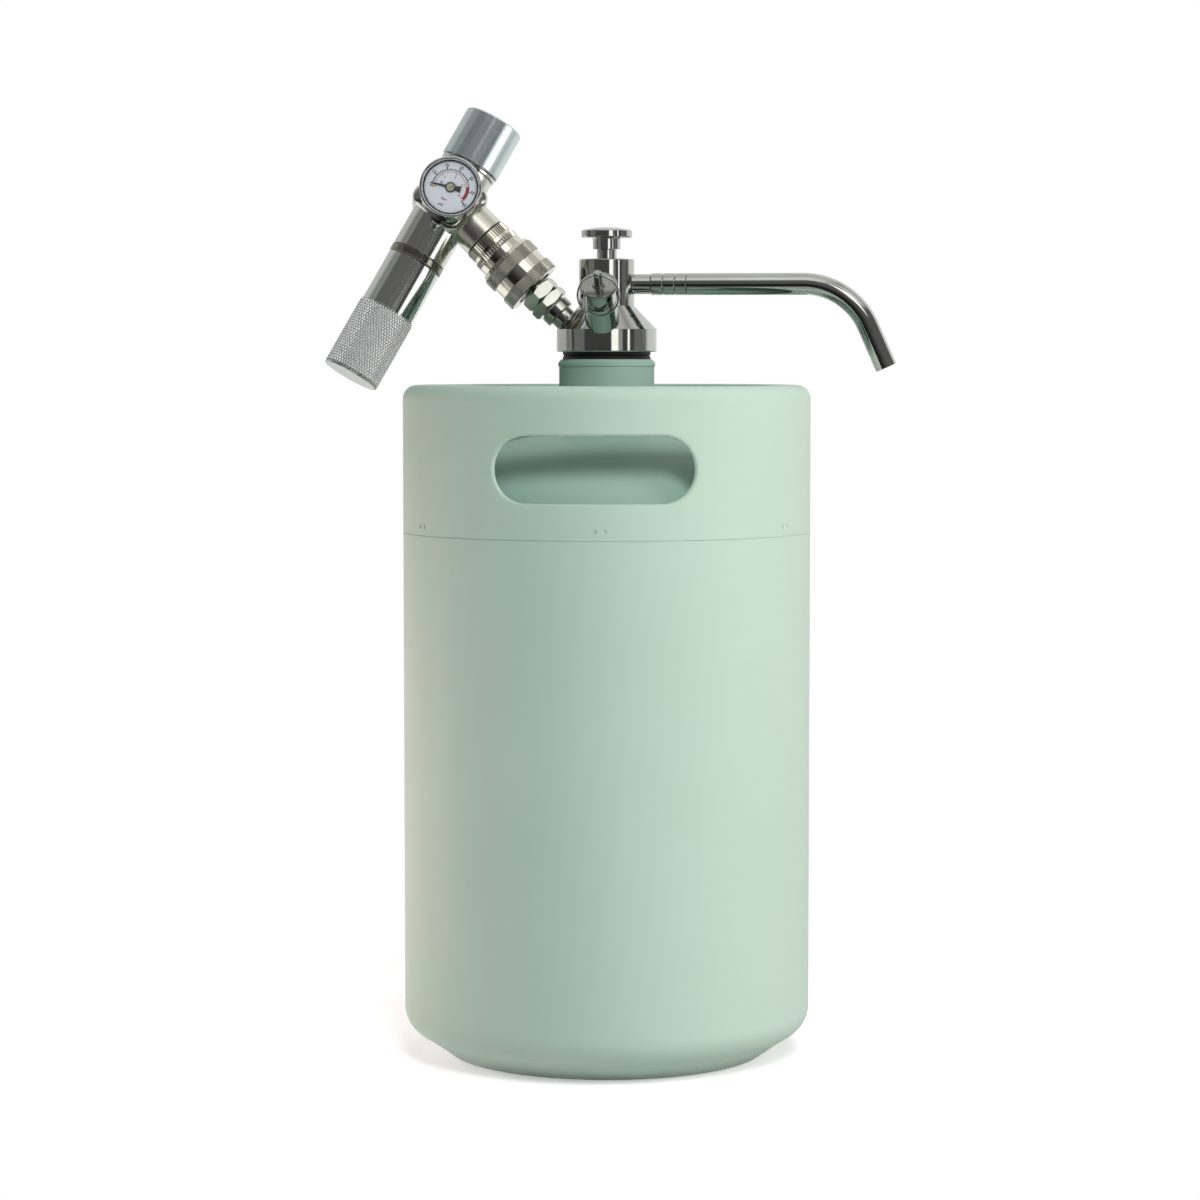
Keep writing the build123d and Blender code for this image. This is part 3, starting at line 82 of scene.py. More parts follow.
def spunLine(line, angle):
    return line @ Matrix.Rotation(radians(angle), 4, "Z")


kegLine = Matrix.Identity(4)
headLine = placeOn(Vector((0, 0, 0)), headX, up)
spoutLine = placeOn(Vector((0, 0, 340.8)) * mm, up, headX)
reliefLine = placeOn(port, headX, reliefOut)
couplerLine = placeOn(port, headY, couplerOut)
regulatorLine = placeOn(hub, gaugeOut, regulatorUp)
bulbLine = placeOn(hub, gaugeOut, -regulatorUp)
gaugeLine = placeOn(hub, gaugeRight, gaugeOut)
blockLine = placeOn(hub, couplerOut, gaugeOut)


def addNode(tree, kind, links=(), **values):
    node = tree.nodes.new(kind)
    for key, value in values.items():
        setattr(node, key, value)
    for socket, source in dict(links).items():
        if hasattr(source, "is_output"):
            tree.links.new(source, node.inputs[socket])
        else:
            node.inputs[socket].default_value = source
    return node


def mathNode(tree, operation, first, second=0.0):
    return addNode(tree, "ShaderNodeMath", {0: first, 1: second}, operation=operation).outputs[0]


def mapRange(tree, value, low, high, first=0.0, last=1.0, curve="LINEAR"):
    return addNode(tree, "ShaderNodeMapRange",
                   {"Value": value, "From Min": low, "From Max": high, "To Min": first,
                    "To Max": last}, interpolation_type=curve).outputs[0]


def mixNode(tree, factor, first, second, kind="RGBA"):
    return addNode(tree, "ShaderNodeMix", {"Factor": factor, "A": first, "B": second},
                   data_type=kind).outputs["Result"]


def noiseNode(tree, vector, scale, detail, roughness):
    return addNode(tree, "ShaderNodeTexNoise", {"Vector": vector, "Scale": scale, "Detail": detail,
                                                "Roughness": roughness}).outputs["Fac"]


def fromAxis(tree, vector):
    # the distance from the axis, and the height along it
    parts = addNode(tree, "ShaderNodeSeparateXYZ", {0: vector})
    flat = addNode(tree, "ShaderNodeCombineXYZ", {0: parts.outputs[0], 1: parts.outputs[1]})
    reach = addNode(tree, "ShaderNodeVectorMath", {0: flat.outputs[0]}, operation="LENGTH")
    return reach.outputs["Value"], parts.outputs[2]


def newGrain(name, *scales):
    # a group that makes a height and a slow shade out of a place and two scales
    group = bpy.data.node_groups.new(name, "ShaderNodeTree")
    for title, inOut, kind in (("Vector", "INPUT", "Vector"), (scales[0], "INPUT", "Float"),
                               (scales[1], "INPUT", "Float"), ("Height", "OUTPUT", "Float"),
                               ("Shade", "OUTPUT", "Float")):
        group.interface.new_socket(name=title, in_out=inOut, socket_type="NodeSocket" + kind)
    return group, group.nodes.new("NodeGroupInput").outputs, group.nodes.new("NodeGroupOutput")


def makeTurnedGrain():
    # fine rings that a lathe leaves, and slow streaks along them
    group, given, result = newGrain("turnedGrain", "Rings", "Streaks")
    reach, height = fromAxis(group, given["Vector"])
    across = mathNode(group, "MULTIPLY", reach, given["Rings"])
    along = mathNode(group, "MULTIPLY", height, given["Rings"])
    ringPlace = addNode(group, "ShaderNodeCombineXYZ", {0: across, 1: along}).outputs[0]
    rings = noiseNode(group, ringPlace, 1.0, 2.0, 0.6)
    slow = noiseNode(group, given["Vector"], given["Streaks"], 3.0, 0.55)
    mixed = mathNode(group, "ADD", mathNode(group, "MULTIPLY", rings, 0.4),
                     mathNode(group, "MULTIPLY", slow, 0.6))
    group.links.new(rings, result.inputs["Height"])
    group.links.new(mixed, result.inputs["Shade"])
    return group


def makeFineGrain():
    # small bumps without direction, with slower clouds of shade over them
    group, given, result = newGrain("fineGrain", "Grain", "Clouds")
    for scale, detail, roughness, target in (("Grain", 3.0, 0.6, "Height"),
                                             ("Clouds", 4.0, 0.5, "Shade")):
        speckle = noiseNode(group, given["Vector"], given[scale], detail, roughness)
        group.links.new(speckle, result.inputs[target])
    return group


turnedGrain = makeTurnedGrain()
fineGrain = makeFineGrain()


def newMaterial(name):
    material = bpy.data.materials.new(name)
    material.use_nodes = True
    return material, material.node_tree, material.node_tree.nodes["Principled BSDF"]


def newFinish(name, line, grain, grainValues, colours, roughness, bumpHeight, valley=None,
              **fixed):
    # colours and roughness are pairs that the grain's slow shade moves between
    material, tree, shader = newMaterial(name)
    coords = tree.nodes.new("ShaderNodeTexCoord")
    turn = addNode(tree, "ShaderNodeMapping",
                   {"Vector": coords.outputs["Object"], "Location": line.translation,
                    "Rotation": line.to_euler()}, vector_type="TEXTURE").outputs[0]
    effect = addNode(tree, "ShaderNodeGroup", node_tree=grain)
    for key, value in grainValues.items():
        effect.inputs[key].default_value = value
    tree.links.new(turn, effect.inputs["Vector"])
    shade = effect.outputs["Shade"]
    shown = mixNode(tree, mapRange(tree, shade, 0.3, 0.7), (*colours[0], 1), (*colours[1], 1))
    if valley:
        # the bottoms of a knurl, told by their distance from the axis, are painted darker: painted shade in the
        # valleys between the diamonds
        foot, crest, valleyShade = valley
        raised = mapRange(tree, fromAxis(tree, turn)[0], foot * mm, crest * mm)
        shown = mixNode(tree, raised, (*valleyShade, 1), shown)
    bump = addNode(tree, "ShaderNodeBump", {"Height": effect.outputs["Height"],
                                            "Distance": bumpHeight * mm, "Strength": 1.0})
    for title, source in (("Base Color", shown), ("Normal", bump.outputs[0]),
                          ("Roughness", mapRange(tree, shade, 0.3, 0.7, *roughness))):
        tree.links.new(source, shader.inputs[title])
    for key, value in fixed.items():
        shader.inputs[key].default_value = value
    return material


def paint(*screen):
    # screen colour out of 255 to the linear value that a shader takes
    return tuple((c / 255 / 12.92) if c <= 10 else ((c / 255 + 0.055) / 1.055) ** 2.4
                 for c in screen)


metal = {"Metallic": 1.0}
kegPaint = newFinish("kegPaint", kegLine, fineGrain, {"Grain": 2600.0, "Clouds": 14.0},
                     (paint(178, 204, 187), paint(181, 206, 190)), (0.5, 0.58), 0.012,
                     **{"Specular IOR Level": 0.4})
# a darker copy of the keg paint: painted shade for the shoulder inside the collar and the neck under the head
shadedShoulderPaint = newFinish("shadedShoulderPaint", kegLine, fineGrain,
                          {"Grain": 2600.0, "Clouds": 14.0},
                          (paint(145, 177, 162), paint(148, 179, 165)), (0.5, 0.58), 0.012,
                          **{"Specular IOR Level": 0.4})
blackRubber = newFinish("blackRubber", headLine, fineGrain, {"Grain": 3000.0, "Clouds": 60.0},
                        (paint(20, 20, 22), paint(33, 33, 35)), (0.45, 0.6), 0.01)
headSteel = newFinish("headSteel", headLine, turnedGrain, {"Rings": 5200.0, "Streaks": 45.0},
                      (paint(186, 186, 181), paint(202, 202, 197)), (0.05, 0.1), 0.0007, **metal)
reliefSteel = newFinish("reliefSteel", reliefLine, turnedGrain,
                        {"Rings": 5200.0, "Streaks": 60.0},
                        (paint(180, 181, 175), paint(198, 199, 193)), (0.06, 0.11), 0.0008, **metal)
capSteel = newFinish("capSteel", reliefLine, turnedGrain, {"Rings": 4200.0, "Streaks": 90.0},
                     (paint(160, 160, 154), paint(190, 190, 184)), (0.2, 0.3), 0.003, **metal)
tubeSteel = newFinish("tubeSteel", spoutLine, fineGrain, {"Grain": 900.0, "Clouds": 50.0},
                      (paint(192, 192, 189), paint(206, 206, 203)), (0.05, 0.08), 0.0005, **metal)
spoutSteel = newFinish("spoutSteel", spoutLine, turnedGrain, {"Rings": 5200.0, "Streaks": 60.0},
                       (paint(188, 188, 184), paint(203, 203, 199)), (0.07, 0.12), 0.0008, **metal)
vesselSteel = newFinish("vesselSteel", kegLine, turnedGrain, {"Rings": 2600.0, "Streaks": 20.0},
                        (paint(178, 178, 175), paint(196, 196, 194)), (0.25, 0.35), 0.004, **metal)
nickelPlate = newFinish("nickelPlate", couplerLine, turnedGrain,
                        {"Rings": 4800.0, "Streaks": 55.0},
                        (paint(214, 208, 194), paint(230, 225, 212)), (0.08, 0.14), 0.0011,
                        **metal)
plugSteel = newFinish("plugSteel", couplerLine, fineGrain, {"Grain": 900.0, "Clouds": 90.0},
                      (paint(176, 176, 169), paint(196, 196, 188)), (0.07, 0.12), 0.0008, **metal)
blockNickel = newFinish("blockNickel", regulatorLine, fineGrain, {"Grain": 1200.0, "Clouds": 60.0},
                        (paint(214, 214, 206), paint(228, 228, 220)), (0.14, 0.22), 0.0016,
                        **metal)
bodyNickel = newFinish("bodyNickel", regulatorLine, turnedGrain,
                       {"Rings": 4800.0, "Streaks": 50.0},
                       (paint(204, 205, 198), paint(220, 220, 213)), (0.09, 0.14), 0.001, **metal)
stubNickel = newFinish("stubNickel", couplerLine, turnedGrain, {"Rings": 4800.0, "Streaks": 55.0},
                       (paint(212, 207, 196), paint(228, 224, 213)), (0.2, 0.28), 0.0015,
                       **{"Metallic": 0.93})
knobAluminium = newFinish("knobAluminium", regulatorLine, turnedGrain,
                          {"Rings": 4400.0, "Streaks": 50.0},
                          (paint(196, 208, 211), paint(212, 223, 226)), (0.13, 0.2), 0.0014,
                          **{"Metallic": 0.82})
sleeveAluminium = newFinish("sleeveAluminium", bulbLine, turnedGrain,
                            {"Rings": 4400.0, "Streaks": 50.0},
                            (paint(208, 209, 207), paint(224, 225, 223)), (0.09, 0.14), 0.0011,
                            **metal)
# the colour given with valley is painted shade for the hollows between the knurl's diamonds
knurlAluminium = newFinish("knurlAluminium", bulbLine, turnedGrain,
                           {"Rings": 4400.0, "Streaks": 50.0},
                           (paint(228, 230, 230), paint(240, 242, 242)), (0.28, 0.36), 0.001,
                           valley=(12.5, 12.6, paint(60, 62, 64)), **{"Metallic": 0.6})
# the colour given with valley is painted shade for the hollows between the knurl's diamonds
knurlNickel = newFinish("knurlNickel", couplerLine, turnedGrain,
                        {"Rings": 4800.0, "Streaks": 55.0},
                        (paint(236, 230, 218), paint(246, 241, 230)), (0.16, 0.22), 0.001,
                        valley=(13.25, 13.36, paint(84, 80, 72)), **{"Metallic": 0.85})
springSteel = newFinish("springSteel", reliefLine, fineGrain, {"Grain": 1500.0, "Clouds": 120.0},
                        (paint(196, 195, 193), paint(216, 215, 213)), (0.06, 0.12), 0.0006, **metal)
gaugeChrome = newFinish("gaugeChrome", gaugeLine, turnedGrain, {"Rings": 3000.0, "Streaks": 60.0},
                        (paint(196, 198, 200), paint(210, 212, 214)), (0.04, 0.07), 0.0004,
                        **metal)
brass = newFinish("brass", gaugeLine, turnedGrain, {"Rings": 5000.0, "Streaks": 200.0},
                  (paint(178, 152, 96), paint(205, 180, 120)), (0.22, 0.32), 0.001, **metal)
screwSteel = newFinish("screwSteel", gaugeLine, turnedGrain, {"Rings": 9000.0, "Streaks": 260.0},
                       (paint(132, 131, 114), paint(168, 166, 146)), (0.16, 0.26), 0.0012,
                       **metal)
ringSteel = newFinish("ringSteel", bulbLine, turnedGrain, {"Rings": 4400.0, "Streaks": 60.0},
                      (paint(134, 129, 120), paint(160, 154, 143)), (0.1, 0.16), 0.001, **metal)
bulbSteel = newFinish("bulbSteel", bulbLine, fineGrain, {"Grain": 1500.0, "Clouds": 40.0},
                      (paint(160, 164, 168), paint(186, 190, 192)), (0.25, 0.35), 0.002, **metal)
seatPlastic = newFinish("seatPlastic", headLine, fineGrain, {"Grain": 1800.0, "Clouds": 60.0},
                        (paint(226, 226, 220), paint(236, 236, 231)), (0.4, 0.5), 0.003)
dialWhite = newFinish("dialWhite", gaugeLine, fineGrain, {"Grain": 2400.0, "Clouds": 60.0},
                      (paint(240, 248, 255), paint(244, 251, 255)), (0.5, 0.6), 0.001)
inkBlack = newFinish("inkBlack", gaugeLine, fineGrain, {"Grain": 2400.0, "Clouds": 200.0},
                     (paint(18, 20, 26), paint(30, 32, 38)), (0.5, 0.6), 0.0005)
inkRed = newFinish("inkRed", gaugeLine, fineGrain, {"Grain": 2400.0, "Clouds": 200.0},
                   (paint(176, 14, 46), paint(196, 22, 54)), (0.5, 0.6), 0.0005)
needleBlack = newFinish("needleBlack", gaugeLine, fineGrain, {"Grain": 2400.0, "Clouds": 150.0},
                        (paint(12, 12, 14), paint(22, 22, 24)), (0.35, 0.45), 0.001)


def makeLensGlass():
    material, tree, shader = newMaterial("lensGlass")
    shader.inputs["Transmission Weight"].default_value = 1.0
    shader.inputs["IOR"].default_value = 1.3
    coords = tree.nodes.new("ShaderNodeTexCoord")
    dust = addNode(tree, "ShaderNodeGroup", node_tree=fineGrain)
    dust.inputs["Grain"].default_value = 1200.0
    dust.inputs["Clouds"].default_value = 80.0
    tree.links.new(coords.outputs["Object"], dust.inputs["Vector"])
    shade = dust.outputs["Shade"]
    tree.links.new(mapRange(tree, shade, 0.0, 1.0, 0.0, 0.04), shader.inputs["Roughness"])
    tree.links.new(mixNode(tree, shade, (0.97, 0.985, 1.0, 1), (1.0, 1.0, 1.0, 1)),
                   shader.inputs["Base Color"])
    return material


lensGlass = makeLensGlass()
slotFinish = {
    "keg_paint": kegPaint, "vessel_steel": vesselSteel, "black_rubber": blackRubber,
    "head_steel": headSteel, "tube_steel": tubeSteel, "seat_plastic": seatPlastic,
    "spring_steel": springSteel, "nickel": nickelPlate, "aluminium_satin": knobAluminium,
    "brass": brass, "gauge_chrome": gaugeChrome, "lens_glass": lensGlass,
    "dial_white": dialWhite, "needle_black": needleBlack, "bulb_steel": bulbSteel}
nodeSlot = {part["node"]: part["material_slot"] for part in frame["record"]["subparts"]}
for nodeName, nodeObject in frame["nodes"].items():
    nodeObject.data.materials.clear()
    nodeObject.data.materials.append(slotFinish[nodeSlot[nodeName]])
print("finishes made")


# tools of the modelling: each works on the active piece
def editMode():
    bpy.ops.object.mode_set(mode="EDIT")


def objectMode():
    bpy.ops.object.mode_set(mode="OBJECT")


def selectAll():
    bpy.ops.mesh.select_all(action="SELECT")


def deselectAll():
    if bpy.context.mode != "OBJECT":
        objectMode()
    bpy.ops.object.select_all(action="DESELECT")


def focus(piece):
    deselectAll()
    piece.select_set(True)
    bpy.context.view_layer.objects.active = piece


def pick(kind, test):
    # in edit mode, select what stands where the test says
    bpy.ops.mesh.select_mode(type=kind)
    bpy.ops.mesh.select_all(action="DESELECT")
    mesh = bpy.context.object.data
    work = bmesh.from_edit_mesh(mesh)
    items = {"VERT": work.verts, "EDGE": work.edges, "FACE": work.faces}[kind]
    for item in items:
        if test(item):
            item.select_set(True)
    work.select_flush_mode()
    bmesh.update_edit_mesh(mesh)


def cleanUp(threshold=0.002):
    # the last step of edit mode
    bpy.ops.mesh.select_mode(type="VERT")
    selectAll()
    bpy.ops.mesh.remove_doubles(threshold=threshold * mm)
    bpy.ops.mesh.normals_make_consistent(inside=False)
    objectMode()


def named(name):
    piece = bpy.context.object
    piece.name = piece.data.name = name
    return piece


def freeze():
    # what has been moved, turned or scaled goes into the mesh
    bpy.ops.object.transform_apply(location=True, rotation=True, scale=True)


def extrudeEdges(x, y, z):
    bpy.ops.mesh.extrude_edges_move(TRANSFORM_OT_translate={"value": (x * mm, y * mm, z * mm)})


def extrudeFace(rise):
    bpy.ops.mesh.extrude_region_move(TRANSFORM_OT_translate={"value": (0, 0, rise * mm)})


def stretch(x, y, z, height=0):
    bpy.ops.transform.resize(value=(x, y, z), center_override=(0, 0, height * mm))


def circle(name, vertices, radius, place=(0, 0, 0), rotation=(0, 0, 0), fill="NOTHING"):
    deselectAll()
    bpy.ops.mesh.primitive_circle_add(vertices=vertices, radius=radius * mm, fill_type=fill,
                                      location=[step * mm for step in place], rotation=rotation)
    piece = named(name)
    freeze()
    return piece


def box(size, place, line):
    deselectAll()
    bpy.ops.mesh.primitive_cube_add(size=mm, location=[step * mm for step in place])
    piece = bpy.context.object
    piece.scale = size
    freeze()
    put(piece, line)
    return piece


def put(piece, line):
    # carry a piece modelled at the origin to its axis, and keep the place in its mesh
    focus(piece)
    piece.matrix_world = line @ piece.matrix_world
    freeze()


def applyModifier(piece, kind, **values):
    focus(piece)
    modifier = piece.modifiers.new(kind.title(), kind)
    for key, value in values.items():
        setattr(modifier, key, value)
    bpy.ops.object.modifier_apply(modifier=modifier.name)


def soften(piece, width, segments=2, angle=28):
    applyModifier(piece, "BEVEL", width=width * mm, segments=segments, limit_method="ANGLE",
                  angle_limit=radians(angle))


def smooth(piece, angle=32):
    focus(piece)
    bpy.ops.object.shade_smooth_by_angle(angle=radians(angle))
    # the large faces keep their own direction, and only the small ones beside them bend
    applyModifier(piece, "WEIGHTED_NORMAL", keep_sharp=True, weight=80)


def cutWith(piece, cutter, operation="DIFFERENCE"):
    applyModifier(piece, "BOOLEAN", object=cutter, operation=operation, solver="EXACT")
    bpy.data.objects.remove(cutter)


def joinPieces(first, *others):
    focus(first)
    for other in others:
        other.select_set(True)
    bpy.ops.object.join()
    return first


def copyTurned(piece, line, angle):
    # a copy with its own mesh, turned about the line's axis
    twin = piece.copy()
    twin.data = piece.data.copy()
    bpy.context.scene.collection.objects.link(twin)
    focus(twin)
    turn = line @ Matrix.Rotation(radians(angle), 4, "Z") @ line.inverted()
    twin.matrix_world = turn @ twin.matrix_world
    freeze()
    return twin


def settle(piece, finish, slotName, body, *nodes):
    # finish is None where the piece already holds more than one
    if finish:
        piece.data.materials.clear()
        piece.data.materials.append(finish)
    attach(piece, body)
    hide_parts(*nodes)
    return piece


def arcPoints(centre, radius, start, end, count):
    # (radius, height) points of an arc in a half outline
    return [(centre[0] + radius * cos(radians(start + (end - start) * step / count)),
             centre[1] + radius * sin(radians(start + (end - start) * step / count)))
            for step in range(count + 1)]


def trace(k, text, **more):
    # corners of a half outline, "radius height" each: numbers, names of sizes, and their sums
    sizes = {**k, **more}

    def size(sums):
        total = 0.0
        for sign, word in re.findall(r"([+-]?)([\w.]+)", sums):
            value = sizes[word] if word in sizes else float(word)
            total += -value if sign == "-" else value
        return total

    return [tuple(size(sums) for sums in corner.split()) for corner in text.split(",")]


def startPoint(name):
    deselectAll()
    bpy.ops.mesh.primitive_plane_add(size=mm)
    piece = named(name)
    editMode()
    bpy.ops.mesh.select_mode(type="VERT")
    selectAll()
    bpy.ops.mesh.merge(type="CENTER")
    return piece


def drawOutline(points):
    here = Vector((0, 0, 0))
    for index, point in enumerate(points):
        there = Vector(point) * mm
        if index == 0:
            bpy.ops.transform.translate(value=there - here)
        else:
            bpy.ops.mesh.extrude_vertices_move(TRANSFORM_OT_translate={"value": there - here})
        here = there


def turned(name, outline, line, steps=96, edge=0.06, segments=2):
    piece = startPoint(name)
    drawOutline([(radius, 0, height) for radius, height in outline])
    selectAll()
    bpy.ops.mesh.spin(steps=steps, angle=2 * pi, center=(0, 0, 0), axis=(0, 0, 1))
    cleanUp()
    if edge:
        soften(piece, edge, segments)
    put(piece, line)
    smooth(piece)
    return piece


def lathe(name, outline, line, steps, edge, finish, slotName, body, *nodes):
    return settle(turned(name, outline, line, steps, edge), finish, slotName, body, *nodes)


def disc(name, radius, start, end, line, steps=64, edge=0.06):
    return turned(name, [(0, start), (radius, start), (radius, end), (0, end)], line, steps, edge)


def ringOutline(inner, outer, start, end):
    return [(inner, start), (outer, start), (outer, end), (inner, end), (inner, start)]


def hexPiece(name, flats, start, end, line, bore=0.0, chamfer=0.6, turnBy=0.0):
    # a hexagon whose corners a lathe has rounded off at both ends
    piece = circle(name, 6, flats / sqrt(3), (0, 0, start), (0, 0, turnBy), "NGON")
    editMode()
    selectAll()
    extrudeFace(end - start)
    cleanUp()
    corner = flats / sqrt(3)
    rounder = turned(name + "Rounder",
                     [(bore, start), (flats / 2 - 0.1, start), (corner + 0.05, start + chamfer),
                      (corner + 0.05, end - chamfer), (flats / 2 - 0.1, end), (bore, end)]
                     + ([(bore, start)] if bore else []), Matrix.Identity(4), 72, 0)
    cutWith(piece, rounder, "INTERSECT")
    soften(piece, 0.09, 2, 24)
    put(piece, line)
    smooth(piece, 25)
    return piece


kegSizes = dict(
    radius=90.0, seam=232.0, turnRadius=13.0, turnStart=21.0, turnAngle=67.38, domeRadius=88.8,
    domeRise=45.0, neck=21.0, neckFillet=5.0, lipFoot=306.3, lipTop=307.8, lipOut=0.4, lipBand=1.4,
    footInset=13.5, footWidth=3.0, footSlope=2.5, recess=4.5, wall=1.0, neckWall=3.0)


def makeShell(k):
    centre = (k["radius"] - k["turnRadius"], k["turnStart"])
    crease = arcPoints(centre, k["turnRadius"], -k["turnAngle"], 0, 14)
    neckFoot = k["seam"] + k["domeRise"] * sqrt(1 - (k["neck"] / k["domeRadius"]) ** 2)
    dome = []
    for step in range(29):
        angle = radians(step * 3)
        across, rise = k["domeRadius"] * cos(angle), k["domeRise"] * sin(angle)
        if across > k["neck"] + k["neckFillet"]:
            dome.append((across, k["seam"] + rise))
    fillet = [(k["neck"] + k["neckFillet"] * (1 - sin(radians(a))),
               neckFoot - 0.5 + k["neckFillet"] * (1 - cos(radians(a)))) for a in (20, 40, 60, 90)]
    inner = k["neck"] - k["neckWall"]
    outline = ([(crease[0][0] - k["wall"] * 0.4, crease[0][1] + k["wall"] * 0.9)] + crease
               + [(k["radius"], k["seam"] - 0.35), (k["radius"] - 0.35, k["seam"])] + dome
               + fillet
               + trace(k,
                   "neck lipFoot-lipBand-lipOut, neck+lipOut lipFoot-lipBand, "
                   "neck+lipOut lipFoot, neck-1.1 lipTop, inner lipTop, inner lipTop-12, "
                   "inner+1 lipTop-12, inner+1 neckFoot, radius-6 seam+4, radius-wall seam-4, "
                   "radius-wall turnStart", inner=inner, neckFoot=neckFoot)
               + [(crease[0][0] - k["wall"] * 0.4, crease[0][1] + k["wall"] * 0.9)])
    shell = turned("kegShell", outline, kegLine, 160, 0.12, 2)
    # the shoulder inside the collar and its neck take a darker copy of the keg paint: painted shade, as the collar
    # and the tap head shade them
    shell.data.materials.append(kegPaint)
    shell.data.materials.append(shadedShoulderPaint)
    focus(shell)
    editMode()
    pick("FACE", lambda f: f.calc_center_median().z > (k["seam"] + 0.5) * mm)
    shell.active_material_index = 1
    bpy.ops.object.material_slot_assign()
    objectMode()
    settle(shell, None, "keg_paint", "keg", "outer_shell", "shoulder")
    foot = crease[0][0] - k["footInset"]
    innerFoot = foot - k["footWidth"]
    pan = turned("kegBase", trace(k,
        "rim rise, foot+1.2 0.35, foot 0, innerFoot 0, innerFoot-0.6 0.5, "
        "innerFoot-footSlope recess, 0 recess, 0 recess+0.8, "
        "innerFoot-footSlope+0.4 recess+0.8, innerFoot+0.4 0.9, foot-0.4 0.9, "
        "rim-1 rise+0.6, rim rise", rim=crease[0][0], rise=crease[0][1], foot=foot,
        innerFoot=innerFoot), kegLine, 160, 0.4, 3)
    settle(pan, kegPaint, "keg_paint", "keg", "base_pan")


makeShell(kegSizes)

collarSizes = dict(
    radius=90.0, foot=232.0, rollStart=290.5, rollRadius=6.0, edgeRadius=79.5, edgeFoot=292.0,
    wall=1.2, slotHeight=261.5, slotLength=85.8, slotOpening=28.5, slotTurn=-3.8, bend=1.5,
    lipDepth=3.5, weldHeight=235.8, weldSpacing=4.2, weldCount=6, weldTurn=-1.9, weldRadius=1.125)


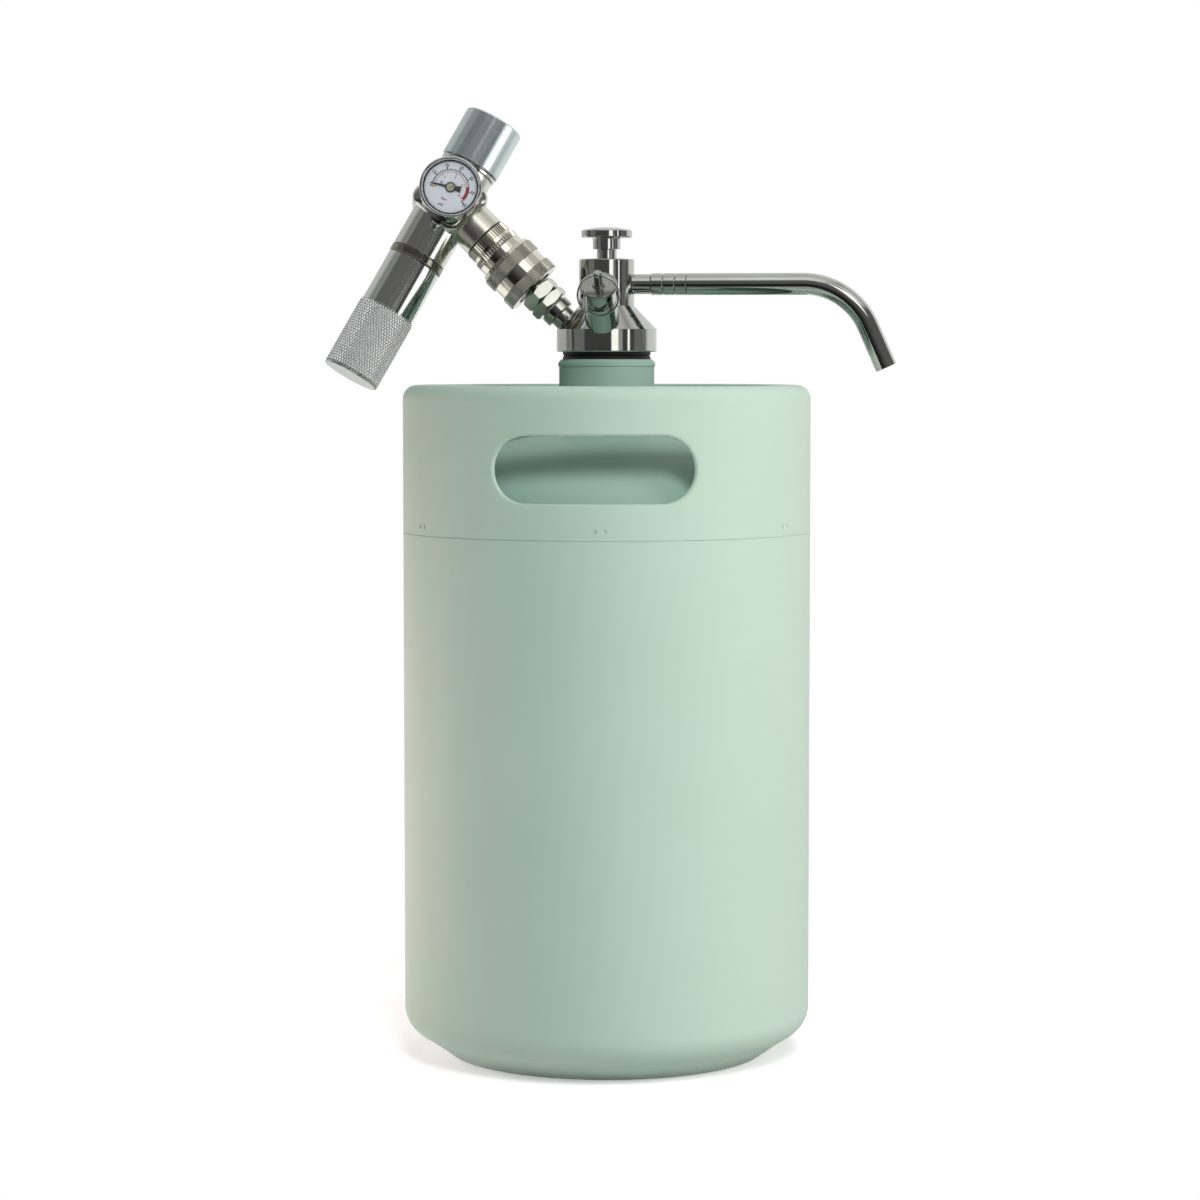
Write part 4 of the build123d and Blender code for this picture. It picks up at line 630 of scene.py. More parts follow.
def makeCollar(k):
    # half of the wall is drawn flat, as seen from outside, then bent round the keg
    radius = k["radius"]
    middle = k["slotHeight"]
    endCircle = k["slotOpening"] / 2
    slotEnd = radius * asin(k["slotLength"] / 2 / radius)
    straight = radius * asin((k["slotLength"] / 2 - endCircle) / radius)
    endReach = slotEnd - straight
    halfLength = pi * radius / 2
    wall = circle("kegCollar", 64, endCircle, (0, 0, middle), (pi / 2, 0, 0))
    editMode()
    for side in (1, -1):
        pick("VERT", lambda v: side * v.co.x > 0.001 * mm)
        stretch(endReach / endCircle, 1, 1, middle)
        bpy.ops.transform.translate(value=(side * straight * mm, 0, 0))
    pick("EDGE", lambda e: abs(e.verts[0].co.x - e.verts[1].co.x) > 0.4 * straight * mm)
    bpy.ops.mesh.subdivide(number_cuts=10)
    selectAll()
    # lip: the loop now at the slot's edge is its inner end
    width, height = slotEnd, endCircle
    lipFlare = radius * asin(k["slotLength"] / 2 / (radius - k["lipDepth"])) / slotEnd
    loops = [(0.0, k["bend"], 1.0)]
    for angle in (22.5, 45, 67.5, 90):
        loops.append((k["bend"] * (1 - cos(radians(angle))),
                      k["bend"] * (1 - sin(radians(angle))), 1.0))
    outward = k["bend"]
    while outward < halfLength:
        outward += 3.0 if outward < 8 else 5.5
        loops.append((outward, 0.0, 1.0))
    stretch(lipFlare, 1, 1, middle)
    bpy.ops.transform.translate(value=(0, k["lipDepth"] * mm, 0))
    reachX, reachZ, depth = width * lipFlare, height, k["lipDepth"]
    for offset, nextDepth, flare in loops:
        nextX, nextZ = (width + offset) * flare, height + offset
        extrudeEdges(0, nextDepth - depth, 0)
        stretch(nextX / reachX, 1, nextZ / reachZ, middle)
        reachX, reachZ, depth = nextX, nextZ, nextDepth
    for place, normal in (((halfLength, 0, 0), (1, 0, 0)), ((-halfLength, 0, 0), (-1, 0, 0)),
                          ((0, 0, k["rollStart"]), (0, 0, 1)), ((0, 0, k["foot"]), (0, 0, -1))):
        selectAll()
        bpy.ops.mesh.bisect(plane_co=Vector(place) * mm, plane_no=normal, clear_outer=True,
                            threshold=0.0001 * mm)
    # upright cuts keep every face narrow enough to bend evenly
    across = -halfLength + 4.0
    while across < halfLength - 1.0:
        selectAll()
        bpy.ops.mesh.bisect(plane_co=(across * mm, 0, 0), plane_no=(1, 0, 0),
                            threshold=0.0001 * mm)
        across += 4.0
    # roll of the rim, still flat: up the roll, then in to the rolled edge
    pick("EDGE", lambda e: all(abs(v.co.z - k["rollStart"] * mm) < 0.001 * mm for v in e.verts))
    roll = [(k["rollRadius"] * (1 - cos(radians(a))), k["rollRadius"] * sin(radians(a)))
            for a in (0, 15, 30, 45, 60, 75, 90)]
    edgeIn = radius - k["edgeRadius"]
    roll += trace(k,
        "edgeIn-1.6 rollRadius, edgeIn-0.5 rollRadius-0.45, edgeIn rollRadius-1.6, "
        "edgeIn edgeFoot-rollStart", edgeIn=edgeIn)
    for before, after in zip(roll, roll[1:]):
        extrudeEdges(0, after[0] - before[0], after[1] - before[1])
    objectMode()
    applyModifier(wall, "SIMPLE_DEFORM", deform_method="BEND", deform_axis="Z", angle=pi)
    wall.matrix_world = Matrix.Translation((0, -radius * mm, 0)) @ wall.matrix_world
    focus(wall)
    freeze()
    back = copyTurned(wall, kegLine, 180)
    joinPieces(wall, back)
    editMode()
    cleanUp(0.02)
    applyModifier(wall, "SOLIDIFY", thickness=k["wall"] * mm, offset=-1)
    soften(wall, 0.3, 3, 50)
    put(wall, Matrix.Rotation(radians(k["slotTurn"]), 4, "Z"))
    halfPair = degrees(k["weldSpacing"] / 2 / radius)
    welds = []
    for spot in range(k["weldCount"]):
        for side in (-halfPair, halfPair):
            deselectAll()
            bpy.ops.mesh.primitive_uv_sphere_add(segments=20, ring_count=12,
                                                 radius=k["weldRadius"] * mm)
            dimple = bpy.context.object
            bpy.ops.transform.resize(value=(1, 0.8, 1))
            bpy.ops.transform.translate(
                value=(0, -(radius + 0.3) * mm, k["weldHeight"] * mm))
            freeze()
            welds.append(copyTurned(dimple, kegLine,
                                    k["weldTurn"] + side + spot * 360 / k["weldCount"]))
            bpy.data.objects.remove(dimple)
    cutWith(wall, joinPieces(*welds))
    smooth(wall, 40)
    settle(wall, kegPaint, "keg_paint", "keg", "collar")


makeCollar(collarSizes)

gasketSizes = dict(
    bore=17.0, radius=19.4, start=307.8, lip=1.15, groove=0.55, end=311.1)


def makeGasket(k):
    middle = (k["start"] + k["end"]) / 2
    outline = trace(k,
        "bore start, radius-0.15 start, radius start+0.2, radius start+lip, "
        "radius-groove middle-0.1, radius-groove middle+0.1, radius end-lip, radius end-0.2, "
        "radius-0.15 end, bore end, bore start", middle=middle)
    lathe("neckGasket", outline, kegLine, 120, 0.08,
          blackRubber, "black_rubber", "keg", "neck_gasket")


makeGasket(gasketSizes)
print("keg made")

headSizes = dict(
    plug=16.8, foot=311.1, band=22.05, bandTop=321.0, barrel=12.15, barrelFoot=331.3, top=351.8,
    chamfer=0.4, bonnet=7.55, stem=4.4, stemTop=356.0, stemNeck=3.0, knobFoot=356.1, knobHub=6.1,
    discFoot=361.2, discTop=364.5, disc=11.2, crownTop=365.9, plugFoot=296.1)


def makeHead(k):
    lathe("tapBody", trace(k,
        "bonnet+0.1 top, barrel-chamfer top, barrel top-chamfer, barrel barrelFoot, band bandTop, "
        "band foot+0.35, band-0.35 foot, plug foot, plug plugFoot, 8.5 plugFoot, 8.5 plugFoot+26, "
        "bonnet+0.1 plugFoot+26, bonnet+0.1 top"), headLine, 144, 0.1,
        headSteel, "head_steel", "keg", "tap_body")
    lathe("bonnetNut", trace(k,
        "stem+0.05 top-4, bonnet top-4, bonnet top, stem+0.6 top, stem+0.05 top-0.5, "
        "stem+0.05 top-4"), headLine, 96, 0.06, headSteel, "head_steel", "keg", "bonnet")
    lathe("valveStem", trace(k,
        "0 top-8, stem top-8, stem stemTop-0.2, stem-0.2 stemTop, stemNeck stemTop, "
        "stemNeck knobFoot+5.8, 0 knobFoot+5.8"), headLine, 64, 0.04,
        headSteel, "head_steel", "valve_stem", "valve_stem")
    edge = k["disc"] - 0.4
    crown = k["crownTop"] - k["discTop"]
    sphere = (edge ** 2 + crown ** 2) / (2 * crown)
    half = degrees(asin(edge / sphere))
    crownLine = arcPoints((0, k["crownTop"] - sphere), sphere, 90 - half, 90, 8)
    lathe("flowKnob", trace(k,
        "stemNeck+0.05 knobFoot, knobHub knobFoot, knobHub discFoot-0.5, knobHub+0.5 discFoot, "
        "edge discFoot, disc discFoot+0.4, disc discTop-0.4",
        edge=edge) + crownLine, headLine, 120, 0.07,
        headSteel, "head_steel", "flow_knob", "flow_knob")


makeHead(headSizes)
print("tap head made")

spoutSizes = dict(
    seat=11.2, root=6.5, nipple=4.4, reach=19.5, spigot=3.25, spigotEnd=32.9, bore=2.0, tube=4.8,
    wall=0.9, ferruleStart=19.7, ferruleEnd=35.4, groove=0.35, spacing=5.3, straight=51.3,
    bend=31.0, bendAngle=66.0, drop=20.0)


def makeSpout(k):
    lathe("spoutNipple", trace(k,
        "bore root, nipple-0.6 root, nipple-0.6 seat, nipple seat, nipple reach-0.15, "
        "nipple-0.15 reach, spigot reach, spigot spigotEnd, bore spigotEnd, bore root"),
        spoutLine, 80, 0.04, spoutSteel, "tube_steel", "keg", "spout_nipple")
    outline = trace(k,
        "spigot+0.05 ferruleStart, tube-0.3 ferruleStart, tube ferruleStart+0.3")
    for station in (k["ferruleStart"] + k["spacing"], k["ferruleStart"] + 2 * k["spacing"]):
        outline += trace(k,
            "tube station-groove, tube-groove station-0.05, tube-groove station+0.05, "
            "tube station+groove", station=station)
    outline += trace(k,
        "tube ferruleEnd-0.3, tube-0.3 ferruleEnd, spigot+0.05 ferruleEnd, "
        "spigot+0.05 ferruleStart")
    lathe("spoutFerrule", outline, spoutLine, 96, 0.04,
          spoutSteel, "tube_steel", "spout", "spout_ferrule")
    # tube: a loop drawn out straight, spun through the bend, then drawn straight again
    tube = circle("spoutTube", 64, k["tube"])
    editMode()
    selectAll()
    bpy.ops.transform.resize(value=(1 - 0.25 / k["tube"],) * 3)
    bpy.ops.transform.translate(value=(0, 0, k["ferruleEnd"] * mm))
    extrudeEdges(0, 0, 0.25)
    bpy.ops.transform.resize(value=(k["tube"] / (k["tube"] - 0.25),) * 2 + (1,))
    extrudeEdges(0, 0, k["straight"] - 0.25)
    bendPlace = k["ferruleEnd"] + k["straight"]
    # the line's x points up, so the bend's centre lies at minus x
    bpy.ops.mesh.spin(steps=28, angle=radians(k["bendAngle"]),
                      center=(-k["bend"] * mm, 0, bendPlace * mm), axis=(0, 1, 0))
    tail = Vector((-sin(radians(k["bendAngle"])), 0, cos(radians(k["bendAngle"]))))
    bpy.ops.mesh.extrude_edges_move(TRANSFORM_OT_translate={"value": tail * k["drop"] * mm})
    cleanUp()
    applyModifier(tube, "SOLIDIFY", thickness=k["wall"] * mm, offset=-1)
    soften(tube, 0.1, 2, 50)
    put(tube, spoutLine)
    smooth(tube, 40)
    settle(tube, tubeSteel, "tube_steel", "spout", "spout_tube")


makeSpout(spoutSizes)
print("spout made")

reliefSizes = dict(
    foot=17.0, spigot=4.95, bossFoot=24.3, boss=7.4, grooveStart=37.4, grooveEnd=37.9,
    grooveRadius=6.5, barrel=7.05, barrelEnd=45.3, chamber=5.0, vent=1.1, ventStation=42.7,
    cap=8.15, capEnd=46.5, capBoss=2.75, capBossEnd=47.3, pin=1.9, pinEnd=53.9, holeStation=52.2,
    hole=1.25, ring=9.0, wire=0.42, pitch=0.85, lean=16.0, pinFoot=28.0, disc=4.6, discEnd=30.4,
    ventAngles=(-50, 70, 190), ringTurn=150)


def drillAcross(piece, radius, reach, place, line):
    # a hole along the line's x
    deselectAll()
    bpy.ops.mesh.primitive_cylinder_add(vertices=36, radius=radius * mm, depth=reach * mm,
                                        rotation=(0, pi / 2, 0),
                                        location=[step * mm for step in place])
    drill = bpy.context.object
    freeze()
    put(drill, line)
    cutWith(piece, drill)


def makeRelief(k):
    body = turned("reliefBody", trace(k,
        "chamber barrelEnd, barrel-0.2 barrelEnd, barrel barrelEnd-0.2, barrel grooveEnd, "
        "grooveRadius grooveEnd, grooveRadius grooveStart, boss grooveStart, boss bossFoot, "
        "spigot bossFoot, spigot foot, 2.2 foot, 2.2 27.0, chamber 27.0, chamber barrelEnd"),
        reliefLine, 112, 0.05)
    for angle in k["ventAngles"]:
        drillAcross(body, k["vent"], 6, (k["barrel"], 0, k["ventStation"]),
                    spunLine(reliefLine, angle))
    smooth(body)
    settle(body, reliefSteel, "head_steel", "keg", "relief_body")
    lathe("reliefCap", trace(k,
        "pin+0.05 barrelEnd-0.7, chamber-0.05 barrelEnd-0.7, chamber-0.05 barrelEnd, "
        "cap-0.15 barrelEnd, cap barrelEnd+0.15, cap capEnd-0.25, cap-0.25 capEnd, "
        "capBoss+0.15 capEnd, capBoss capEnd+0.15, capBoss capBossEnd-0.2, "
        "capBoss-0.2 capBossEnd, pin+0.05 capBossEnd, pin+0.05 barrelEnd-0.7"),
        reliefLine, 96, 0.04, capSteel, "head_steel", "keg", "relief_cap")
    pin = turned("reliefPin", trace(k,
        "0 pinFoot, disc pinFoot, disc discEnd, pin discEnd, pin pinEnd-0.5, pin-0.5 pinEnd, "
        "0 pinEnd"), reliefLine, 56, 0.04)
    drillAcross(pin, k["hole"], 8, (0, 0, k["holeStation"]), reliefLine)
    smooth(pin)
    settle(pin, reliefSteel, "head_steel", "relief_pin", "relief_pin")
    # pull ring: two turns of one wire side by side, its ends cut square
    drop = headY * sin(radians(k["lean"])) - up * cos(radians(k["lean"]))
    centre = reliefLine @ Vector((0, 0, k["holeStation"] * mm)) + drop * k["ring"] * mm
    ringLine = placeOn(centre, -drop, headX.cross(drop))
    ring = circle("pullRing", 16, k["wire"], (k["ring"], 0, -k["pitch"]), (pi / 2, 0, 0))
    applyModifier(ring, "SCREW", axis="Z", angle=3.86 * pi, screw_offset=1.64 * k["pitch"] * mm,
                  steps=150, render_steps=150, use_merge_vertices=False)
    editMode()
    bpy.ops.mesh.select_mode(type="EDGE")
    bpy.ops.mesh.select_all(action="DESELECT")
    bpy.ops.mesh.select_non_manifold()
    bpy.ops.mesh.fill_holes(sides=0)
    cleanUp()
    put(ring, spunLine(ringLine, k["ringTurn"]))
    smooth(ring, 50)
    settle(ring, springSteel, "spring_steel", "pull_ring", "pull_ring")


makeRelief(reliefSizes)
print("relief valve made")

postSizes = dict(
    foot=24.4, post=5.3, flangeStart=28.7, flange=7.1, flangeEnd=33.1, nose=4.0, noseEnd=36.7,
    way=1.8, washer=5.6, nutStart=33.9, nutEnd=38.6, nutFlats=16.0, plugFlats=15.5, plugStart=38.7,
    plugEnd=44.2, plugNose=4.9, spigot=3.4, spigotStart=14.0, tip=58.0, hexTurn=23.0)


def makePost(k):
    lathe("gasPost", trace(k,
        "way spigotStart, spigot spigotStart, spigot foot, post foot, post flangeStart, "
        "flange-0.5 flangeStart, flange flangeStart+0.5, flange flangeEnd-0.3, "
        "flange-0.3 flangeEnd, nose flangeEnd, nose noseEnd, way noseEnd, way spigotStart"),
        couplerLine, 96, 0.06, plugSteel, "tube_steel", "keg", "gas_post")
    lathe("postWasher", ringOutline(k["nose"] + 0.05, k["washer"], k["flangeEnd"],
                                              k["nutStart"]), couplerLine, 72, 0.1,
          seatPlastic, "seat_plastic", "keg", "post_washer")
    nut = hexPiece("adapterNut", k["nutFlats"], k["nutStart"], k["nutEnd"], couplerLine,
                   k["nose"] + 0.05, 1.0, radians(k["hexTurn"]))
    settle(nut, plugSteel, "nickel", "keg", "adapter_nut")
    plug = hexPiece("plugHexagon", k["plugFlats"], k["plugStart"], k["plugEnd"], couplerLine,
                    0.0, 1.0, radians(k["hexTurn"]))
    nose = turned("plugNose", trace(k,
        "way 36.8, nose 36.8, nose plugEnd-1, plugNose plugEnd-1, plugNose 48.6, 3.9 49.6, "
        "3.9 51.2, plugNose 52.2, plugNose tip-0.8, plugNose-0.8 tip, way tip, way 36.8"),
        couplerLine, 64, 0.05)
    settle(joinPieces(plug, nose), plugSteel, "nickel", "keg", "coupler_plug")


makePost(postSizes)


def knurledBand(name, radius, start, end, around, rows, depth, line):
    # diamonds: every second point of a fine grid stands out, and the valleys run slanted
    valley = radius - depth
    back = valley - 0.6
    band = circle(name, 2 * around, valley, (0, 0, start))
    editMode()
    selectAll()
    step = (end - start) / (2 * rows)
    for row in range(2 * rows):
        extrudeEdges(0, 0, step)

    def standsOut(vertex):
        row = round((vertex.co.z / mm - start) / step)
        column = round(atan2(vertex.co.y, vertex.co.x) / (pi / around))
        return 0 < row < 2 * rows and (row + column) % 2 == 1

    pick("VERT", standsOut)
    stretch(radius / valley, radius / valley, 1)
    selectAll()
    bpy.ops.mesh.quads_convert_to_tris(quad_method="SHORTEST_DIAGONAL")
    # the back of the band, so that it is closed
    pick("EDGE", lambda e: all(abs(v.co.z - end * mm) < 0.01 * mm for v in e.verts))
    extrudeEdges(0, 0, -0.02)
    stretch(back / valley, back / valley, 1)
    extrudeEdges(0, 0, start - end + 0.04)
    extrudeEdges(0, 0, -0.02)
    stretch(valley / back, valley / back, 1)
    cleanUp(0.004)
    put(band, line)
    return band


couplerSizes = dict(
    start=45.5, bandEnd=51.3, middleEnd=56.6, knurlEnd=62.4, end=64.1, radius=13.6, middle=12.75,
    tail=12.4, recess=9.1, skirt=11.4, land=7.9, depth=0.34, around=80, rows=5, bodyStart=46.3,
    body=7.8, flangeStart=61.0, flangeEnd=62.6, flange=9.8, bodyTail=7.0, bodyEnd=70.6,
    plugNose=4.95)


def makeCoupler(k):
    core = k["radius"] - k["depth"]
    sleeve = turned("couplerSleeve", trace(k,
        "recess start, core-0.3 start, core start+0.1, core bandEnd-0.1, core-0.3 bandEnd, "
        "middle bandEnd, middle middleEnd, core-0.3 middleEnd, core middleEnd+0.1, core knurlEnd, "
        "core-0.2 knurlEnd+0.1, tail end, skirt end, skirt 58.8, 10.2 58.8, 10.2 52.0, land 52.0, "
        "land 48.5, recess 48.5, recess start", core=core),
        couplerLine, 128, 0.05)
    bands = [knurledBand("knurlBand", k["radius"], first, last, k["around"], k["rows"],
                         k["depth"], couplerLine)
             for first, last in ((k["start"] + 0.1, k["bandEnd"] - 0.1),
                                 (k["middleEnd"] + 0.1, k["knurlEnd"]))]
    sleeve.data.materials.append(nickelPlate)
    for band in bands:
        band.data.materials.append(knurlNickel)
    joinPieces(sleeve, *bands)
    settle(sleeve, None, "nickel", "coupler_sleeve", "coupler_sleeve")
    lathe("couplerBody", trace(k,
        "plugNose bodyStart, body-0.3 bodyStart, body bodyStart+0.3, body flangeStart, "
        "flange flangeStart, flange flangeEnd, bodyTail flangeEnd, bodyTail bodyEnd, "
        "plugNose bodyEnd, plugNose bodyStart"), couplerLine, 96, 0.06,
        nickelPlate, "nickel", "regulator", "coupler_body")


makeCoupler(couplerSizes)
adapterSizes = dict(
    start=62.6, fluteStart=67.7, front=11.25, groove=10.3, rearStart=72.1, rear=10.65, end=76.3,
    bore=7.1, flutes=50, depth=0.42, sealEnd=76.9, seal=10.1, frontFluteEnd=70.4)


def flutedBand(name, radius, start, end, k):
    # four points to a flute: two on the crest, two in the groove
    inward = (radius - k["depth"]) / radius
    band = circle(name, 4 * k["flutes"], radius, (0, 0, start), fill="NGON")
    editMode()
    pitch = pi / (2 * k["flutes"])
    pick("VERT", lambda v: round(atan2(v.co.y, v.co.x) / pitch) % 4 in (0, 1))
    stretch(inward, inward, 1)
    selectAll()
    extrudeFace(end - start)
    cleanUp()
    soften(band, 0.06, 2)
    put(band, couplerLine)
    smooth(band, 25)
    return band


def makeAdapter(k):
    core = turned("flutedAdapter", trace(k,
        "bore start, front-0.5 start, front start+0.5, front fluteStart, groove fluteStart, "
        "groove end, 6.0 end, 6.0 70.8, bore 70.8, bore start"), couplerLine, 112, 0.05)
    front = flutedBand("frontFlutes", k["front"], k["fluteStart"] + 0.02, k["frontFluteEnd"], k)
    rear = flutedBand("rearFlutes", k["rear"], k["rearStart"], k["end"] - 0.05, k)
    settle(joinPieces(core, front, rear), nickelPlate, "nickel", "regulator", "fluted_adapter")
    lathe("outletSeal", ringOutline(6.0, k["seal"], k["end"], k["sealEnd"]),
                  couplerLine, 80, 0.12, blackRubber, "black_rubber", "regulator", "outlet_seal")


makeAdapter(adapterSizes)
print("coupler made")

regulatorSizes = dict(
    tube=12.45, tubeEnd=-27.9, neckStart=15.4, neck=11.8, flangeStart=16.4, flange=12.9,
    flangeEnd=17.9, spigot=10.8, spigotEnd=32.6, length=26.8, height=26.0, lift=0.4, depth=25.0,
    fillet=5.2, edge=3.2, outlet=10.2, outletFace=22.2, nose=10.9, noseEnd=-41.0, stub=5.95,
    stubEnd=28.2, room=9.9, roomFloor=5.9, stubStart=11.0)


def makeRegulator(k):
    deselectAll()
    bpy.ops.mesh.primitive_plane_add(size=mm)
    block = named("regulatorBody")
    block.scale = (k["length"], k["height"], 1)
    freeze()
    editMode()
    selectAll()
    bpy.ops.mesh.bevel(offset=k["fillet"] * mm, segments=10, affect="VERTICES")
    # loops from the back face to the front one: how far in, and at what height
    half = k["depth"] / 2
    rim = [(k["edge"] * (1 - sin(radians(a))), k["edge"] * (1 - cos(radians(a))))
           for a in range(0, 91, 15)]
    loops = [(inset, rise - half) for inset, rise in rim]
    loops += [(inset, half - rise) for inset, rise in reversed(rim)]
    lastInset, lastHeight = 0.0, 0.0
    for index, (inset, rise) in enumerate(loops):
        bpy.ops.mesh.select_mode(type="FACE")
        if index:
            extrudeFace(rise - lastHeight)
        else:
            bpy.ops.transform.translate(value=(0, 0, rise * mm))
        stretch((k["length"] - 2 * inset) / (k["length"] - 2 * lastInset),
                (k["height"] - 2 * inset) / (k["height"] - 2 * lastInset), 1)
        lastInset, lastHeight = inset, rise
    selectAll()
    bpy.ops.transform.translate(value=(0, -k["lift"] * mm, 0))
    cleanUp()
    put(block, blockLine)
    cutWith(block, disc("springRoom", k["room"], k["roomFloor"], k["spigotEnd"], regulatorLine,
                        edge=0))
    smooth(block, 30)
    block.data.materials.append(blockNickel)
    tube = turned("regulatorTube", trace(k,
        "0 noseEnd, nose-0.4 noseEnd, nose noseEnd+0.4, nose tubeEnd, tube-0.25 tubeEnd, "
        "tube tubeEnd+0.25, tube neckStart, neck neckStart, neck flangeStart, "
        "flange-0.2 flangeStart, flange flangeStart+0.2, flange flangeEnd-0.2, "
        "flange-0.2 flangeEnd, spigot flangeEnd, spigot spigotEnd, room spigotEnd, "
        "room roomFloor, 0 roomFloor"), regulatorLine, 120, 0.06)
    tube.data.materials.append(bodyNickel)
    outlet = turned("outletStub", trace(k,
        "0 stubStart, outlet stubStart, outlet outletFace-0.3, outlet-0.3 outletFace, "
        "stub outletFace, stub stubEnd, 0 stubEnd"),
        placeOn(hub, gaugeOut, -couplerOut), 96, 0.06)
    outlet.data.materials.append(stubNickel)
    joinPieces(block, tube, outlet)
    settle(block, None, "nickel", "regulator", "regulator_body")


makeRegulator(regulatorSizes)
knobSizes = dict(
    radius=13.45, bore=10.9, start=18.4, end=41.3, chamfer=0.7, lid=38.0, spindle=3.0,
    spindleEnd=21.0)


def makeKnob(k):
    lathe("adjustingKnob", trace(k,
        "0 spindleEnd, spindle spindleEnd, spindle lid, bore lid, bore 32.1, 11.6 32.1, "
        "11.6 30.8, bore 30.8, bore start, radius-0.3 start, radius start+0.3, "
        "radius end-chamfer, radius-chamfer end, 0 end"), regulatorLine, 120, 0.1,
        knobAluminium, "aluminium_satin", "adjusting_knob", "adjusting_knob")


makeKnob(knobSizes)
bulbSizes = dict(
    lockInner=10.9, lock=12.6, lockStart=28.2, lockEnd=31.4, lockChamfer=0.3, bore=11.0, start=31.8,
    sleeve=12.25, knurlStart=56.1, knurl=13.0, end=89.15, plainEnd=88.45, room=9.6, boreEnd=42.0,
    depth=0.48, around=58, rows=13)


def makeBulbSleeve(k):
    lathe("lockRing", trace(k,
        "lockInner lockStart, lock-lockChamfer lockStart, lock lockStart+lockChamfer, "
        "lock lockEnd-lockChamfer, lock-lockChamfer lockEnd, lockInner lockEnd, "
        "lockInner lockStart"), bulbLine, 112, 0.05,
        ringSteel, "aluminium_satin", "regulator", "lock_ring")
    core = k["knurl"] - k["depth"]
    sleeve = turned("bulbSleeve", trace(k,
        "bore start, sleeve-0.25 start, sleeve start+0.25, sleeve knurlStart, "
        "core-0.1 knurlStart, core knurlStart+0.1, core plainEnd, knurl-0.12 plainEnd, "
        "knurl-0.12 end-0.4, knurl-0.5 end, 0 end, 0 end-2, room end-2, room boreEnd, "
        "bore boreEnd, bore start", core=core),
        bulbLine, 128, 0.05)
    band = knurledBand("knurl", k["knurl"], k["knurlStart"] + 0.1, k["plainEnd"], k["around"],
                       k["rows"], k["depth"], bulbLine)
    sleeve.data.materials.append(sleeveAluminium)
    band.data.materials.append(knurlAluminium)
    joinPieces(sleeve, band)
    settle(sleeve, None, "aluminium_satin", "bulb_sleeve", "bulb_sleeve")


makeBulbSleeve(bulbSizes)
print("regulator made")

gaugeSizes = dict(
    flats=18.0, hexStart=12.5, hexEnd=18.0, case=12.9, caseEnd=31.6, wall=0.8, bezelStart=28.6,
    front=33.0, bezel=13.5, opening=12.55, lensStart=31.6, lensEnd=32.4, gasketInner=11.35,
    dialFront=30.4, dialBack=29.9, dial=11.95, needleStart=30.7, needleEnd=31.0, hubEnd=31.35,
    hub=1.8, boss=2.3, pin=0.6, pinPlace=7.3, zero=112.5, rest=105.4, length=8.9, tail=4.6,
    tailWidth=2.9, root=1.3, tip=0.5, ink=0.02,
    slotLength=2.4, slotWidth=0.38, slotDepth=0.3, slotTurn=62)


def makeGauge(k):
    hexagon = hexPiece("gaugeHexagon", k["flats"], k["hexStart"], k["hexEnd"], gaugeLine, 0.0, 0.9)
    spigot = disc("gaugeSpigot", 4.9, 4.0, k["hexStart"] + 1, gaugeLine, 48, 0)
    settle(joinPieces(hexagon, spigot), blockNickel, "nickel", "regulator", "gauge_stem")
    lathe("gaugeCase", trace(k,
        "2.0 hexEnd, case-0.6 hexEnd, case hexEnd+0.6, case caseEnd, case-wall caseEnd, "
        "case-wall hexEnd+0.8, 2.0 hexEnd+0.8, 2.0 hexEnd"),
        gaugeLine, 120, 0.08, gaugeChrome, "gauge_chrome", "regulator", "gauge_case")
    rim = arcPoints((k["bezel"] - 0.75, k["front"] - 0.75), 0.75, 0, 90, 6)
    lathe("gaugeBezel", trace(k,
        "case bezelStart, bezel-0.2 bezelStart, bezel bezelStart+0.2") + rim
        + trace(k,
            "opening+0.2 front, opening front-0.2, opening lensEnd, case lensEnd, case bezelStart"),
            gaugeLine, 144, 0.04, gaugeChrome, "gauge_chrome", "regulator", "gauge_bezel")
    lathe("gaugeLens", trace(k,
        "0 lensStart, case-0.05 lensStart, case-0.05 lensEnd, 0 lensEnd"), gaugeLine, 96, 0.05,
        lensGlass, "lens_glass", "regulator", "gauge_lens")
    lathe("lensGasket", ringOutline(k["gasketInner"], k["opening"], k["dialFront"],
                                              k["caseEnd"] - 0.1), gaugeLine, 120, 0.05,
          blackRubber, "black_rubber", "regulator", "lens_gasket")
    lathe("gaugeDial", trace(k,
        "0.7 dialBack, dial dialBack, dial dialFront, 0.7 dialFront, 0.7 dialBack"),
        gaugeLine, 96, 0, dialWhite, "dial_white", "regulator", "gauge_dial")


makeGauge(gaugeSizes)


def dialBar(inner, outer, width, angle, k):
    # one printed mark: a thin plate from one radius to another, anticlockwise from the top
    return box((width, outer - inner, k["ink"]),
               (0, (inner + outer) / 2, k["dialFront"] + k["ink"] / 2), spunLine(gaugeLine, angle))


def dialArc(inner, outer, first, last, k, steps=72):
    # a printed arc: an edge spun about the middle of the dial, from one angle to another
    arc = startPoint("arc")
    start = Vector((-sin(radians(first)), cos(radians(first)), 0))
    bpy.ops.transform.translate(value=start * inner * mm + up * k["dialFront"] * mm)
    bpy.ops.mesh.extrude_vertices_move(
        TRANSFORM_OT_translate={"value": start * (outer - inner) * mm})
    selectAll()
    bpy.ops.mesh.spin(steps=steps, angle=radians(first - last), center=(0, 0, 0),
                      axis=(0, 0, 1))
    selectAll()
    extrudeFace(k["ink"])
    cleanUp(0.0005)
    put(arc, gaugeLine)
    return arc


